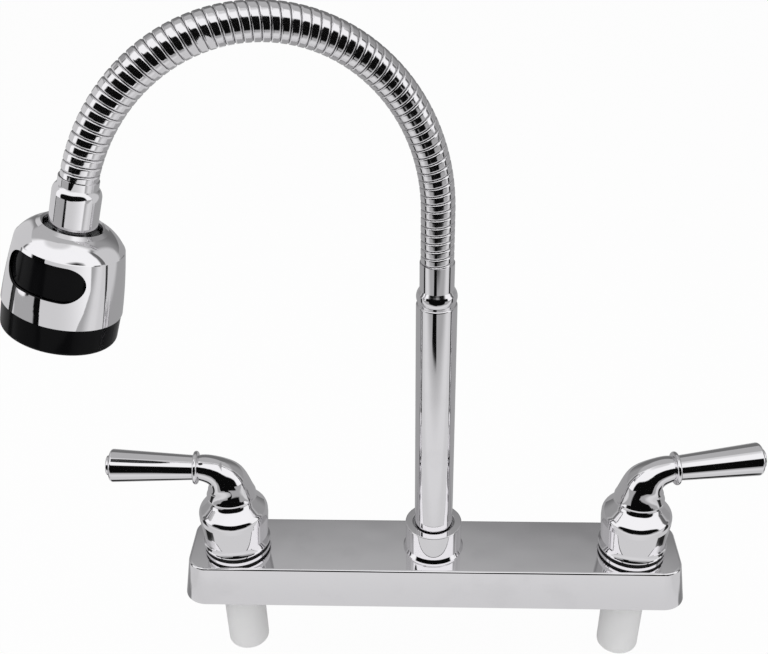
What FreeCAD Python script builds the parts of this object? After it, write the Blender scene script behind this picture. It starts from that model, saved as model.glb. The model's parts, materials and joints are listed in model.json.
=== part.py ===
import FreeCAD, Part
import math
import os
import re
import Sketcher
from FreeCAD import Placement, Rotation, Vector

# Deck-mounted kitchen faucet with two lever handles, a swivelling riser tube, a self-holding
# gooseneck hose and a two-function spray head on a ball swivel.
# Frame: millimetres, +X to the right, +Y to the back, +Z up. The origin is on the spout's axis,
# in the plane of the deck cover's underside.

doc = FreeCAD.newDocument("two_handle_faucet")
sheet = doc.addObject("Spreadsheet::Sheet", "Sizes")

DRIVING_SIZES = [
    # deck cover
    ("deck_length", 258.0, "length of the cover at its rim"),
    ("deck_depth", 44.4, "front to back at the rim"),
    ("deck_height", 22.6, "rim to top face"),
    ("deck_draft", 2.3, "how far front and back lean in by the top"),
    ("deck_end_lean", 3.9, "how far each end leans in by the top"),
    ("deck_end_wall", 3.7, "wall of the cover at the foot of its ends"),
    ("deck_corner_radius", 12.0, "plan corner at the rim"),
    ("deck_edge_radius", 1.2, "rounding round the top face"),
    ("deck_wall", 2.2, "wall of the cover"),
    ("handle_spacing", 203.2, "8 in between the two handle axes"),
    # clearances
    ("running_gap", 0.08, "radial play of a shaft or spigot that turns"),
    ("face_gap", 0.3, "play between faces that pass each other"),
    ("hole_gap", 1.2, "radial play of a hole that something passes through"),
    # shanks and their caps
    ("shank_radius", 10.3, "1/2 in straight pipe thread, over its crests"),
    ("shank_bore_radius", 6.2, "water bore of a shank"),
    ("thread_edge", 0.8, "chamfer at a shank's end"),
    ("shank_reach", 44.3, "shank below the deck"),
    ("cap_wall", 0.5, "wall of a thread cap"),
    ("cap_edge_radius", 1.8, "rounding at the closed end of a cap"),
    ("cap_floor", 1.0, "floor of a thread cap"),
    ("cap_mouth", 0.5, "mouth of a thread cap below the deck"),
    # valve bodies
    ("valve_radius", 12.0, "valve body above its shank"),
    ("valve_height", 31.0, "top of the valve body"),
    ("clamp_radius", 15.4, "shoulder that the cover is clamped to"),
    ("clamp_height", 4.4, "thickness of that shoulder"),
    ("cartridge_radius", 8.9, "cartridge bore of a valve body"),
    ("cartridge_floor", 2.0, "height of the cartridge bore's floor"),
    ("chamber_radius", 10.4, "water chamber round a cartridge"),
    ("window_width", 8.0, "each window of a cartridge"),
    ("port_height", 13.0, "axis of the supply tubes"),
    ("port_radius", 6.6, "boss that a supply tube enters"),
    ("port_length", 5.0, "how far a boss stands out of its body"),
    ("port_depth", 4.2, "seat of a supply tube in its boss"),
    ("supply_radius", 4.76, "3/8 in supply tube"),
    ("supply_wall", 0.8, "wall of a supply tube"),
    ("nut_height", 4.4, "cover nut"),
    ("nut_wall", 2.4, "ring of a cover nut over its thread"),
    ("gasket_radius", 16.6, "black ring under a handle"),
    ("gasket_height", 2.1, "thickness of that ring"),
    ("seat_ring_radius", 16.9, "raised ring of the cover under a gasket"),
    ("seat_ring_height", 0.9, "height of that raised ring"),
    # cartridge
    ("disc_thickness", 2.5, "each ceramic disc"),
    ("disc_radius", 7.4, "each ceramic disc"),
    ("disc_port_radius", 2.2, "each port of a disc"),
    ("disc_port_reach", 3.9, "disc's centre to a port's centre"),
    ("seal_thickness", 2.0, "rubber seat seal"),
    ("stem_radius", 4.5, "stem in its housing"),
    ("stem_plate_radius", 6.8, "plate that turns the upper disc"),
    ("stem_plate_thickness", 1.4, "thickness of that plate"),
    ("stem_groove_height", 27.5, "O-ring groove of a stem"),
    ("spline_radius", 4.0, "splined end that the handle sits on"),
    ("stem_top", 46.0, "top of the stem"),
    ("cartridge_flange", 2.4, "flange that the bonnet nut holds down"),
    ("bonnet_radius", 14.4, "bonnet nut over its corners"),
    ("bonnet_roof", 2.6, "roof of the bonnet nut"),
    ("nut_engagement", 3.7, "thread of the bonnet nut on the valve body"),
    ("bonnet_flats", 25.4, "bonnet nut across its flats"),
    # handles
    ("bell_radius", 17.4, "bell at its widest"),
    ("bell_foot_radius", 17.2, "bead round the bell's foot"),
    ("bell_bead", 1.4, "height of that bead"),
    ("bell_waist", 0.85, "how far the bell draws in above its bead"),
    ("bell_waist_height", 4.6, "foot to the narrowest part of the bell"),
    ("bell_wall", 2.7, "wall of the bell at its foot"),
    ("bell_widest_from", 42.5, "height where the bell's straight side ends"),
    ("bell_widest_to", 45.0, "height where the shoulder begins"),
    ("bell_shoulder", 4.75, "rounding of the bell's shoulder"),
    ("cone_foot_drop", 1.57, "bell's side to the foot of its cone, across"),
    ("cone_foot_rise", 3.53, "height of that foot above the bell's side"),
    ("cone_top_radius", 12.3, "top of the cone"),
    ("cone_top_height", 51.8, "height of the cone's top"),
    ("neck_cove", 5.0, "hollow between the cone and the groove"),
    ("neck_radius", 10.75, "groove between bell and elbow"),
    ("neck_height", 54.6, "height where that groove turns straight"),
    ("elbow_foot_height", 55.8, "bottom of the elbow"),
    ("elbow_radius", 12.3, "elbow at its foot"),
    ("lever_height", 71.6, "lever's axis where it crosses the hub's axis"),
    ("lever_rise", 3.5, "degrees that the lever rises outwards"),
    ("bead_reach", 15.8, "hub axis to the bead"),
    ("bead_radius", 8.3, "bead round the lever"),
    ("bead_width", 2.4, "width of the bead"),
    ("lever_reach", 57.6, "hub axis to the lever's end"),
    ("lever_root_radius", 6.15, "lever beside the bead"),
    ("lever_tip_radius", 8.15, "lever at its end"),
    ("lever_edge_radius", 1.6, "rounding at the lever's end"),
    ("end_cap_radius", 4.9, "plug in the lever's end"),
    ("end_cap_proud", 1.7, "how far the plug stands out"),
    ("end_cap_spigot", 3.0, "radius of the plug's spigot"),
    ("end_cap_depth", 5.0, "length of the plug's spigot"),
    ("boss_radius", 6.8, "boss inside the bell that grips the stem"),
    ("boss_foot", 38.4, "bottom of that boss"),
    ("set_screw_radius", 2.0, "set screw of a handle"),
    ("set_screw_height", 41.6, "height of the set screw"),
    ("set_screw_length", 4.0, "length of the set screw"),
    ("hot_turn", 182.8, "degrees from +X to the hot lever as it stands"),
    ("cold_turn", 6.8, "degrees from +X to the cold lever as it stands"),
    # spout foot
    ("tube_radius", 9.5, "3/4 in riser tube"),
    ("tube_wall", 1.2, "wall of the riser tube"),
    ("tube_top", 164.4, "height of the riser tube's top"),
    ("tube_taper", 0.35, "how much the riser tube narrows by its top"),
    ("tube_edge_radius", 0.7, "rounding at the riser tube's top"),
    ("socket_radius", 12.0, "socket that the spout turns in"),
    ("socket_top", 34.9, "top of the socket"),
    ("socket_floor", 7.0, "floor of the socket's bore"),
    ("spigot_foot", 18.2, "bottom of the spout's spigot"),
    ("spigot_joint", 28.0, "height where the tube sits on the spigot"),
    ("spigot_reach", 12.0, "spigot inside the tube"),
    ("spigot_ring_height", 20.8, "lower O-ring of the spigot"),
    ("spigot_ring_step", 4.6, "lower to upper O-ring"),
    ("spigot_bore_radius", 6.2, "water bore of the spigot"),
    ("flange_radius", 15.3, "flange ring on the deck"),
    ("flange_height", 2.6, "thickness of the flange ring"),
    ("collar_radius", 14.2, "collar nut"),
    ("collar_height", 14.0, "height of the collar nut"),
    ("collar_lip", 2.4, "lip of the collar nut over the retaining ring"),
    ("collar_mouth_radius", 10.3, "mouth of the collar nut"),
    ("collar_edge", 0.5, "rounding of the collar nut's top edges"),
    ("ring_height", 1.6, "retaining ring"),
    ("groove_depth", 0.5, "groove that the retaining ring sits in"),
    ("o_ring_wire", 0.85, "radius of an O-ring's section"),
    # lower ferrule
    ("ferrule_bead_radius", 9.1, "bead of the lower ferrule"),
    ("ferrule_bead_height", 3.5, "riser tube's top to the middle of that bead"),
    ("ferrule_neck_radius", 8.5, "groove under the bead"),
    ("ferrule_neck_top", 1.0, "riser tube's top to where the bead begins"),
    ("ferrule_shoulder", 7.4, "riser tube's top to where the ferrule turns straight"),
    ("ferrule_radius", 7.6, "straight part of the lower ferrule"),
    ("ferrule_spigot", 15.0, "length of the ferrule inside the tube"),
    # gooseneck
    ("hose_radius", 7.2, "hose over its ribs"),
    ("hose_groove_radius", 6.85, "hose in its grooves"),
    ("hose_bore_radius", 5.5, "bore of the hose"),
    ("hose_start", 184.2, "height where the hose leaves the lower ferrule"),
    ("hose_end_radius", 6.9, "plain end of the hose in a ferrule"),
    ("hose_end_length", 5.5, "length of that plain end"),
    ("bend_start", 207.7, "height where the hose starts to bend"),
    ("bend_across", 72.4, "horizontal half-axis of the bend"),
    ("bend_up", 80.8, "vertical half-axis of the bend"),
    ("bend_end", 161.1, "degrees of the bend"),
    ("plane_turn", 15.3, "degrees that the gooseneck's plane is turned to the front"),
    ("rib_count", 67, "ribs of the whole hose"),
    ("lower_ribs", 12, "ribs of the lower stretch"),
    ("bend_ribs", 10, "ribs of each stretch that bends most"),
    ("upper_ribs", 11, "ribs of the upper stretch"),
    ("water_tube_radius", 4.3, "soft tube inside the hose"),
    ("water_tube_wall", 1.1, "wall of the soft tube"),
    ("hose_end_gap", 0.15, "play between two stretches of hose on different bodies"),
    # upper ferrule and ball, measured along the head's axis
    ("upper_narrow_radius", 7.7, "upper ferrule at the hose"),
    ("upper_narrow_length", 3.0, "straight part at the hose"),
    ("upper_flare_length", 3.4, "rounded part between the two diameters"),
    ("upper_radius", 9.3, "upper ferrule over its wide part"),
    ("upper_length", 16.0, "upper ferrule below the hose line's end"),
    ("upper_cover", 3.6, "upper ferrule above the hose line's end, over the hose"),
    ("upper_mouth_gap", 0.2, "radial play of the hose in the upper ferrule"),
    ("upper_edge", 0.8, "chamfer at the upper ferrule's end"),
    ("ball_drop", 24.0, "hose end to the ball's centre"),
    ("ball_radius", 8.0, "swivel ball"),
    ("ball_neck_radius", 4.9, "neck of the ball"),
    ("ball_neck_top", 15.5, "top of that neck"),
    ("ball_flat", 6.4, "ball's centre to its flat"),
    ("ball_bore_radius", 2.8, "water bore of the ball"),
    ("seat_gap", 0.35, "play between ball and seat"),
    ("seal_ring_top", 3.0, "ball's centre down to the seal"),
    ("seal_ring_foot", 8.9, "ball's centre down to the seal's foot"),
    ("retainer_radius", 11.0, "collar that the ball hangs in"),
    ("retainer_top", 5.2, "top of that collar"),
    ("retainer_seat", 4.55, "height where the collar closes over the ball"),
    ("retainer_foot", -0.2, "bottom of the collar"),
    ("retainer_flange", 1.4, "flange of the collar"),
    ("retainer_flange_radius", 18.4, "flange of the collar"),
    # spray head, heights from the ball's centre
    ("rim_radius", 11.3, "mouth of the head round the ferrule"),
    ("rim_height", 9.0, "top of that mouth"),
    ("dome_radius", 20.6, "head where the dome ends"),
    ("dome_foot", 1.4, "height where the dome ends"),
    ("dome_bulge", 17.0, "radius of the dome's section"),
    ("side_step", 0.3, "small step under the dome"),
    ("side_bulge", 240.0, "radius of the side's section"),
    ("head_radius", 23.5, "head at the black ring"),
    ("head_foot", -25.2, "height of the shell's lower edge"),
    ("head_wall", 1.6, "wall of the shell"),
    ("face_ring_radius", 22.9, "black ring at its lower edge"),
    ("face_ring_foot", -37.1, "height of the black ring's lower edge"),
    ("face_ring_edge", 1.6, "rounding of the black ring's lower edge"),
    ("face_opening_radius", 19.4, "opening of the black ring"),
    ("face_thread_radius", 20.1, "bore of the black ring above its opening"),
    ("face_spigot", 5.0, "how far the black ring reaches into the shell"),
    ("spray_plate_recess", 1.2, "how deep the spray plate sits"),
    ("spray_plate_thickness", 3.0, "spray plate"),
    ("plate_flange", 1.2, "flange of the spray plate"),
    ("spray_hole_radius", 0.7, "each spray hole"),
    ("spray_hole_count", 24, "holes in each ring"),
    ("spray_inner_ring", 12.4, "radius of the inner ring of holes"),
    ("spray_outer_ring", 16.2, "radius of the outer ring of holes"),
    ("aerator_radius", 8.8, "aerator in the middle of the face"),
    ("inlet_radius", 15.4, "body inside the head"),
    ("inlet_passage", 3.2, "water passage of that body"),
    ("inlet_foot", -24.0, "bottom of that body"),
    ("inlet_flange", 2.0, "flange of that body"),
    ("button_turn", 29.0, "degrees from the front to the button, round the head"),
    ("button_height", -7.4, "middle of the button"),
    ("button_width", 31.4, "button, end to end"),
    ("button_tall", 13.4, "button, lower to upper edge"),
    ("button_gap", 0.35, "play round the button"),
    ("button_recess", 1.2, "how deep the button's face lies"),
    ("button_thickness", 2.2, "wall of the button"),
    ("button_travel", 1.8, "how far the button can be pressed"),
    ("plunger_radius", 2.0, "rod behind the button"),
    ("plunger_height", -11.4, "height of the rod"),
    ("plunger_reach", 6.0, "rod beyond the head's axis"),
    ("rod_gap", 0.4, "rod's end to the hollow of the button's back"),
    ("spring_seat", 11.0, "head's axis to the bottom of the spring's seat"),
    ("spring_radius", 3.6, "button spring, centre line"),
    ("spring_wire", 0.45, "button spring, radius of the wire"),
    ("spring_turns", 4, "turns of the button spring"),
]

for row, (alias, value, what) in enumerate(DRIVING_SIZES, start=1):
    sheet.set("A%d" % row, alias)
    sheet.set("B%d" % row, str(value))
    sheet.set("C%d" % row, what)
    sheet.setAlias("B%d" % row, alias)
doc.recompute()

ALIASES = re.compile(r"\b(" + "|".join(alias for alias, value, what in DRIVING_SIZES) + r")\b")


def size(text):
    """The number that an expression on the sheet's sizes stands for."""
    return float(sheet.evalExpression(text))


def bind(thing, field, text):
    """Ties a property of an object, or a size in a sketch, to the sheet."""
    thing.setExpression(field, ALIASES.sub(r"Sizes.\1", text))


# Heights and radii that several pieces share, as expressions on the sheet.
COVER_UNDER = "(deck_height - deck_wall)"
THREAD = "(valve_radius + running_gap)"
GASKET_FOOT = "(deck_height + seat_ring_height)"
GASKET_TOP = "(deck_height + seat_ring_height + gasket_height)"
NUT_TOP = "(deck_height + nut_height)"
SEAL_TOP = "(cartridge_floor + seal_thickness)"
LOWER_DISC_TOP = "(cartridge_floor + seal_thickness + disc_thickness)"
UPPER_DISC_TOP = "(cartridge_floor + seal_thickness + 2 * disc_thickness)"
DRIVE_TOP = "(cartridge_floor + seal_thickness + 2 * disc_thickness + stem_plate_thickness)"
CHAMBER_FOOT = "(port_height - supply_radius)"
CHAMBER_TOP = "(port_height + supply_radius)"
HOUSING_TOP = "(valve_height + cartridge_flange)"
BONNET_TOP = "(valve_height + cartridge_flange + bonnet_roof)"
CAP_DROP = "(shank_reach + face_gap + cap_floor)"
BELL_FOOT = "(deck_height + seat_ring_height + gasket_height + face_gap)"
BELL_BORE = "(bell_foot_radius - bell_wall + 0.4)"
WAIST_COVE = ("(((bell_waist - 0.25)^2 + (bell_waist_height - bell_bead)^2) "
              "/ (2 * (bell_waist - 0.25)))")
BELL_ROOF = "(bell_widest_to + 2.0)"
FLANGE_TOP = "(deck_height + flange_height)"
COLLAR_TOP = "(deck_height + flange_height + collar_height)"
COLLAR_ROOF = "(deck_height + flange_height + collar_height - collar_lip)"
RING_FOOT = "(deck_height + flange_height + collar_height - collar_lip - 0.15 - ring_height)"
TUBE_BORE = "(tube_radius - tube_wall)"


# ---------------------------------------------------------------- ways to make a piece

def new_body(label):
    body = doc.addObject("PartDesign::Body", label)
    body.Label = label
    return body


def new_sketch(body, plane, shift=(0, 0, 0), turn=None):
    """A sketch in one of the body's own planes, moved by shift and turned by (axis, angle),
    both in the plane's own directions and given as expressions."""
    sketch = body.newObject("Sketcher::SketchObject", body.Label + "_outline")
    support = [f for f in body.Origin.OriginFeatures if f.Role == plane][0]
    sketch.AttachmentSupport = (support, [""])
    sketch.MapMode = "FlatFace"
    if turn:
        axis, angle = turn
        sketch.AttachmentOffset = Placement(Vector(), Rotation(axis, size(angle)))
        bind(sketch, "AttachmentOffset.Rotation.Angle", angle)
    for letter, text in zip("xyz", shift):
        if str(text) != "0":
            bind(sketch, "AttachmentOffset.Base." + letter, text)
    return sketch


def arc_between(start, end, radius):
    """The short arc from start to end. A positive radius bows to the right of the way
    travelled, a negative one to the left. Gives the arc, and which of its ends is start."""
    half = (end - start) * 0.5
    left = Vector(-half.y, half.x, 0).normalize()
    side = 1 if radius > 0 else -1
    centre = start + half + left * side * math.sqrt(max(0.0, radius ** 2 - half.Length ** 2))
    first, last = (start, end) if side > 0 else (end, start)
    angles = [math.atan2(p.y - centre.y, p.x - centre.x) for p in (first, last)]
    if angles[1] < angles[0]:
        angles[1] += 2 * math.pi
    circle = Part.Circle(centre, Vector(0, 0, 1), abs(radius))
    return Part.ArcOfCircle(circle, angles[0], angles[1]), side > 0


def outline(sketch, corners):
    """A closed outline. Each corner is (across, up), or (across, up, radius) where the side
    that leaves it is an arc; all are expressions."""
    spots = [Vector(size(c[0]), size(c[1]), 0) for c in corners]
    first_geo = sketch.GeometryCount
    ends = []
    for i, corner in enumerate(corners):
        start, end = spots[i], spots[(i + 1) % len(spots)]
        if len(corner) == 3:
            shape, forward = arc_between(start, end, size(corner[2]))
            ends.append((1, 2) if forward else (2, 1))
        else:
            shape = Part.LineSegment(start, end)
            ends.append((1, 2))
        sketch.addGeometry(shape)
    for i, corner in enumerate(corners):
        after = (i + 1) % len(corners)
        here = first_geo + i
        sketch.addConstraint(
            Sketcher.Constraint("Coincident", here, ends[i][1], first_geo + after, ends[after][0]))
        for kind, text, value in (("DistanceX", corner[0], spots[i].x),
                                  ("DistanceY", corner[1], spots[i].y)):
            tie = sketch.addConstraint(Sketcher.Constraint(kind, -1, 1, here, ends[i][0], value))
            bind(sketch, "Constraints[%d]" % tie, text)
        if len(corner) == 3:
            radius = abs(size(corner[2]))
            tie = sketch.addConstraint(Sketcher.Constraint("Radius", here, radius))
            bind(sketch, "Constraints[%d]" % tie, corner[2].lstrip("-"))


def circle(sketch, radius, across="0", up="0"):
    """A circle of that radius, with its centre at (across, up)."""
    centre = Vector(size(across), size(up), 0)
    geo = sketch.addGeometry(Part.Circle(centre, Vector(0, 0, 1), size(radius)))
    tie = sketch.addConstraint(Sketcher.Constraint("Radius", geo, size(radius)))
    bind(sketch, "Constraints[%d]" % tie, radius)
    for kind, text, value in (("DistanceX", across, centre.x), ("DistanceY", up, centre.y)):
        tie = sketch.addConstraint(Sketcher.Constraint(kind, -1, 1, geo, 3, value))
        bind(sketch, "Constraints[%d]" % tie, text)


def feature(body, kind, name, profile, **settings):
    made = body.newObject("PartDesign::" + kind, body.Label + "_" + name)
    made.Profile = profile
    for key, value in settings.items():
        setattr(made, key, value)
    return made


def turn_profile(body, corners, name="turned", **where):
    """Revolves an outline in the XZ plane round its own upright axis."""
    sketch = new_sketch(body, "XZ_Plane", **where)
    outline(sketch, corners)
    return feature(body, "Revolution", name, sketch, ReferenceAxis=(sketch, ["V_Axis"]), Angle=360)


def turned_body(label, corners):
    """A body that is one revolved outline."""
    body = new_body(label)
    turn_profile(body, corners)
    return body


def push_hole(body, name, sketch, length, both_ways=False, reverse=False):
    """A pocket of that length along the sketch's normal."""
    before = body.Shape.Volume
    hole = feature(body, "Pocket", name, sketch, Midplane=both_ways, Reversed=reverse)
    bind(hole, "Length", length)
    doc.recompute()
    if not body.Shape.Volume < before:
        raise RuntimeError(hole.Name + " cuts nothing")
    return hole


def round_edges(body, name, radius, wanted):
    """Rounds the edges of the body's tip for which wanted(edge) is true."""
    doc.recompute()
    tip = body.Tip
    edges = ["Edge%d" % (i + 1) for i, edge in enumerate(tip.Shape.Edges) if wanted(edge)]
    fillet = body.newObject("PartDesign::Fillet", body.Label + "_" + name)
    fillet.Base = (tip, edges)
    bind(fillet, "Radius", radius)
    return fillet


def at_height(edge, height, tolerance=1e-4):
    """True if the whole edge lies at that height."""
    return all(abs(p.z - height) < tolerance for p in edge.discretize(5))


def place(body, spot=("0", "0", "0"), axis=None, angle=None):
    """Puts a finished body in the object's frame, by expressions."""
    if axis is not None:
        body.Placement = Placement(Vector(), Rotation(axis, size(angle)))
        bind(body, "Placement.Rotation.Angle", angle)
    for letter, text in zip("xyz", spot):
        if text != "0":
            bind(body, "Placement.Base." + letter, text)


# ---------------------------------------------------------------- deck cover

def rounded_rectangle(sketch, half_long, half_deep, corner):
    """A rectangle with round corners, centred on the sketch's origin."""
    inner_long = "%s - %s" % (half_long, corner)
    inner_deep = "%s - %s" % (half_deep, corner)
    outline(sketch, [
        ("-(%s)" % inner_long, "-(%s)" % half_deep),
        (inner_long, "-(%s)" % half_deep, corner),
        (half_long, "-(%s)" % inner_deep),
        (half_long, inner_deep, corner),
        (inner_long, half_deep),
        ("-(%s)" % inner_long, half_deep, corner),
        ("-(%s)" % half_long, inner_deep),
        ("-(%s)" % half_long, "-(%s)" % inner_deep, corner),
    ])


def make_deck_cover():
    body = new_body("deck_cover")
    rim = new_sketch(body, "XY_Plane")
    rounded_rectangle(rim, "(deck_length / 2)", "(deck_depth / 2)", "deck_corner_radius")
    face = new_sketch(body, "XY_Plane", shift=("0", "0", "deck_height"))
    rounded_rectangle(face, "(deck_length / 2 - deck_end_lean)", "(deck_depth / 2 - deck_draft)",
                      "(deck_corner_radius - deck_draft)")
    feature(body, "AdditiveLoft", "block", rim, Sections=[face], Ruled=True)
    doc.recompute()
    sketch = new_sketch(body, "XY_Plane")
    rounded_rectangle(sketch, "(deck_length / 2 - deck_end_wall)", "(deck_depth / 2 - deck_wall)",
                      "(deck_corner_radius - deck_wall)")
    hollow = feature(body, "Pocket", "hollow", sketch, Reversed=True)
    bind(hollow, "Length", COVER_UNDER)
    bind(hollow, "TaperAngle", "-atan(deck_draft / deck_height)")
    doc.recompute()
    top = size("deck_height")
    round_edges(body, "top_edge", "deck_edge_radius", lambda edge: at_height(edge, top))
    sketch = new_sketch(body, "XY_Plane", shift=("0", "0", "deck_height"))
    for across in ("-handle_spacing / 2", "handle_spacing / 2"):
        circle(sketch, "valve_radius + hole_gap", across)
    circle(sketch, "socket_radius + hole_gap")
    push_hole(body, "holes", sketch, "2 * deck_wall")
    sketch = new_sketch(body, "XY_Plane", shift=("0", "0", "deck_height"))
    for across in ("-handle_spacing / 2", "handle_spacing / 2"):
        circle(sketch, "seat_ring_radius", across)
        circle(sketch, BELL_BORE + " + face_gap", across)
    rings = feature(body, "Pad", "seat_rings", sketch)
    bind(rings, "Length", "seat_ring_height")
    return body


# ---------------------------------------------------------------- valves under the cover

def side_plane(body, shift):
    """A sketch square to the body's X axis: across is +Y, up is +Z."""
    return new_sketch(body, "YZ_Plane", shift=("0", "0", shift))


def bore_groove(body, corners):
    """Cuts a revolved outline out of the body."""
    before = body.Shape.Volume
    sketch = new_sketch(body, "XZ_Plane")
    outline(sketch, corners)
    feature(body, "Groove", "bore", sketch, ReferenceAxis=(sketch, ["V_Axis"]), Angle=360)
    doc.recompute()
    if not body.Shape.Volume < before:
        raise RuntimeError(body.Label + " has no bore")


def port_boss(body, reach):
    """A boss for a supply tube, along +X from the body's axis."""
    sketch = side_plane(body, "0")
    circle(sketch, "port_radius", "0", "port_height")
    boss = feature(body, "Pad", "boss", sketch)
    bind(boss, "Length", reach)
    doc.recompute()
    return boss


def port_bore(body, reach, name, side):
    """The tube's seat in a boss, and the smaller hole that goes on into the body."""
    for radius, depth, part in (("supply_radius + running_gap", "port_depth", "seat"),
                                ("supply_radius - supply_wall", "2 * port_depth", "hole")):
        sketch = side_plane(body, "%s * (%s)" % (side, reach))
        circle(sketch, radius, "0", "port_height")
        push_hole(body, name + "_" + part, sketch, depth, reverse=(side < 0))


def make_valve_body(side):
    body = new_body(side + "_valve_body")
    clamp_foot = "(%s - clamp_height)" % COVER_UNDER
    turn_profile(body, [
        ("0", "-shank_reach"),
        ("shank_radius - thread_edge", "-shank_reach"),
        ("shank_radius", "thread_edge - shank_reach"),
        ("shank_radius", "face_gap"),
        ("valve_radius", "face_gap"),
        ("valve_radius", clamp_foot),
        ("clamp_radius", clamp_foot),
        ("clamp_radius", COVER_UNDER),
        ("valve_radius", COVER_UNDER),
        ("valve_radius", "valve_height"),
        ("0", "valve_height"),
    ])
    port_boss(body, "valve_radius + port_length")
    bore_groove(body, [
        ("0", "-shank_reach - 1"),
        ("shank_bore_radius", "-shank_reach - 1"),
        ("shank_bore_radius", "cartridge_floor"),
        ("cartridge_radius + running_gap", "cartridge_floor"),
        ("cartridge_radius + running_gap", CHAMBER_FOOT),
        ("chamber_radius", CHAMBER_FOOT),
        ("chamber_radius", CHAMBER_TOP),
        ("cartridge_radius + running_gap", CHAMBER_TOP),
        ("cartridge_radius + running_gap", "valve_height + 1"),
        ("0", "valve_height + 1"),
    ])
    port_bore(body, "valve_radius + port_length", "port", 1)
    return body


def make_cartridge_housing(side):
    body = new_body(side + "_cartridge_housing")
    turn_profile(body, [
        ("disc_radius + running_gap", "cartridge_floor + seal_thickness / 2"),
        ("cartridge_radius", "cartridge_floor + seal_thickness / 2"),
        ("cartridge_radius", "valve_height"),
        ("valve_radius - 0.6", "valve_height"),
        ("valve_radius - 0.6", HOUSING_TOP),
        ("stem_radius + running_gap", HOUSING_TOP),
        ("stem_radius + running_gap", CHAMBER_TOP),
        ("disc_radius + running_gap", CHAMBER_TOP),
    ])
    doc.recompute()
    sketch = side_plane(body, "0")
    outline(sketch, [
        ("-window_width / 2", DRIVE_TOP),
        ("window_width / 2", DRIVE_TOP),
        ("window_width / 2", "%s - 1" % CHAMBER_TOP),
        ("-window_width / 2", "%s - 1" % CHAMBER_TOP),
    ])
    push_hole(body, "windows", sketch, "2 * cartridge_radius + 2", both_ways=True)
    return body


def make_disc(side, name, foot, top, along_x):
    """A ceramic disc with its two ports, along X or along Y."""
    body = new_body(side + "_" + name)
    sketch = new_sketch(body, "XY_Plane", shift=("0", "0", foot))
    circle(sketch, "disc_radius")
    for sign in ("-", ""):
        reach = sign + "disc_port_reach"
        circle(sketch, "disc_port_radius", *((reach, "0") if along_x else ("0", reach)))
    disc = feature(body, "Pad", "disc", sketch)
    bind(disc, "Length", "%s - %s" % (top, foot))
    return body


def make_seat_seal(side):
    return turned_body(side + "_seat_seal", [
        ("shank_bore_radius", "cartridge_floor"),
        ("disc_radius - running_gap", "cartridge_floor"),
        ("disc_radius - running_gap", SEAL_TOP),
        ("shank_bore_radius", SEAL_TOP),
    ])


def make_stem(side):
    """Plate on the upper disc, round shaft with an O-ring groove, splined end."""
    return turned_body(side + "_stem", [
        ("0", UPPER_DISC_TOP),
        ("stem_plate_radius", UPPER_DISC_TOP),
        ("stem_plate_radius", DRIVE_TOP),
        ("stem_radius", DRIVE_TOP),
        ("stem_radius", "stem_groove_height - 1.2 * o_ring_wire"),
        ("stem_radius - 2 * o_ring_wire", "stem_groove_height - 1.2 * o_ring_wire"),
        ("stem_radius - 2 * o_ring_wire", "stem_groove_height + 1.2 * o_ring_wire"),
        ("stem_radius", "stem_groove_height + 1.2 * o_ring_wire"),
        ("stem_radius", "boss_foot - 2"),
        ("spline_radius", "boss_foot - 2"),
        ("spline_radius", "stem_top - 0.6"),
        ("spline_radius - 0.6", "stem_top"),
        ("0", "stem_top"),
    ])


def make_ring(label, middle, heights):
    """One or more O-rings, each with its centre line at radius middle."""
    body = new_body(label)
    for height in heights:
        sketch = new_sketch(body, "XZ_Plane")
        circle(sketch, "o_ring_wire", middle, height)
        feature(body, "Revolution", "ring", sketch, ReferenceAxis=(sketch, ["V_Axis"]), Angle=360)
    return body


def make_bonnet_nut(side):
    body = new_body(side + "_bonnet_nut")
    turn_profile(body, [
        (THREAD, "valve_height - nut_engagement"),
        ("bonnet_radius", "valve_height - nut_engagement"),
        ("bonnet_radius", BONNET_TOP),
        ("stem_radius + hole_gap", BONNET_TOP),
        ("stem_radius + hole_gap", HOUSING_TOP),
        (THREAD, HOUSING_TOP),
    ])
    doc.recompute()
    sketch = new_sketch(body, "XY_Plane", shift=("0", "0", BONNET_TOP))
    circle(sketch, "bonnet_radius + 3")
    corners = []
    for step in range(6):
        turn = math.radians(60 * step)
        reach = 1 / math.cos(math.radians(30))
        corners.append(("bonnet_flats / 2 * %.9f" % (reach * math.cos(turn)),
                        "bonnet_flats / 2 * %.9f" % (reach * math.sin(turn))))
    outline(sketch, corners)
    push_hole(body, "flats", sketch, "%s - valve_height + nut_engagement" % BONNET_TOP)
    return body


def make_cover_nut(side):
    return turned_body(side + "_cover_nut", [
        (THREAD, "deck_height"),
        (THREAD + " + nut_wall", "deck_height"),
        (THREAD + " + nut_wall", "%s - 0.5" % NUT_TOP),
        (THREAD + " + nut_wall - 0.5", NUT_TOP),
        (THREAD, NUT_TOP),
    ])


def make_base_gasket(side):
    return turned_body(side + "_base_gasket", [
        (BELL_BORE + " + face_gap", GASKET_FOOT),
        ("gasket_radius", GASKET_FOOT),
        ("gasket_radius", "%s - 0.4" % GASKET_TOP),
        ("gasket_radius - 0.4", GASKET_TOP),
        (BELL_BORE + " + face_gap", GASKET_TOP),
    ])


def make_shank_cap(side):
    """A soft cup pushed over the shank's thread."""
    body = new_body(side + "_shank_cap")
    inner = "(shank_radius + running_gap)"
    turn_profile(body, [
        ("0", "-%s" % CAP_DROP),
        ("%s + cap_wall" % inner, "-%s" % CAP_DROP),
        ("%s + cap_wall" % inner, "-cap_mouth"),
        (inner, "-cap_mouth"),
        (inner, "cap_floor - %s" % CAP_DROP),
        ("0", "cap_floor - %s" % CAP_DROP),
    ])
    bottom = -size(CAP_DROP)
    round_edges(body, "edge", "cap_edge_radius", lambda edge: at_height(edge, bottom))
    return body


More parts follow.
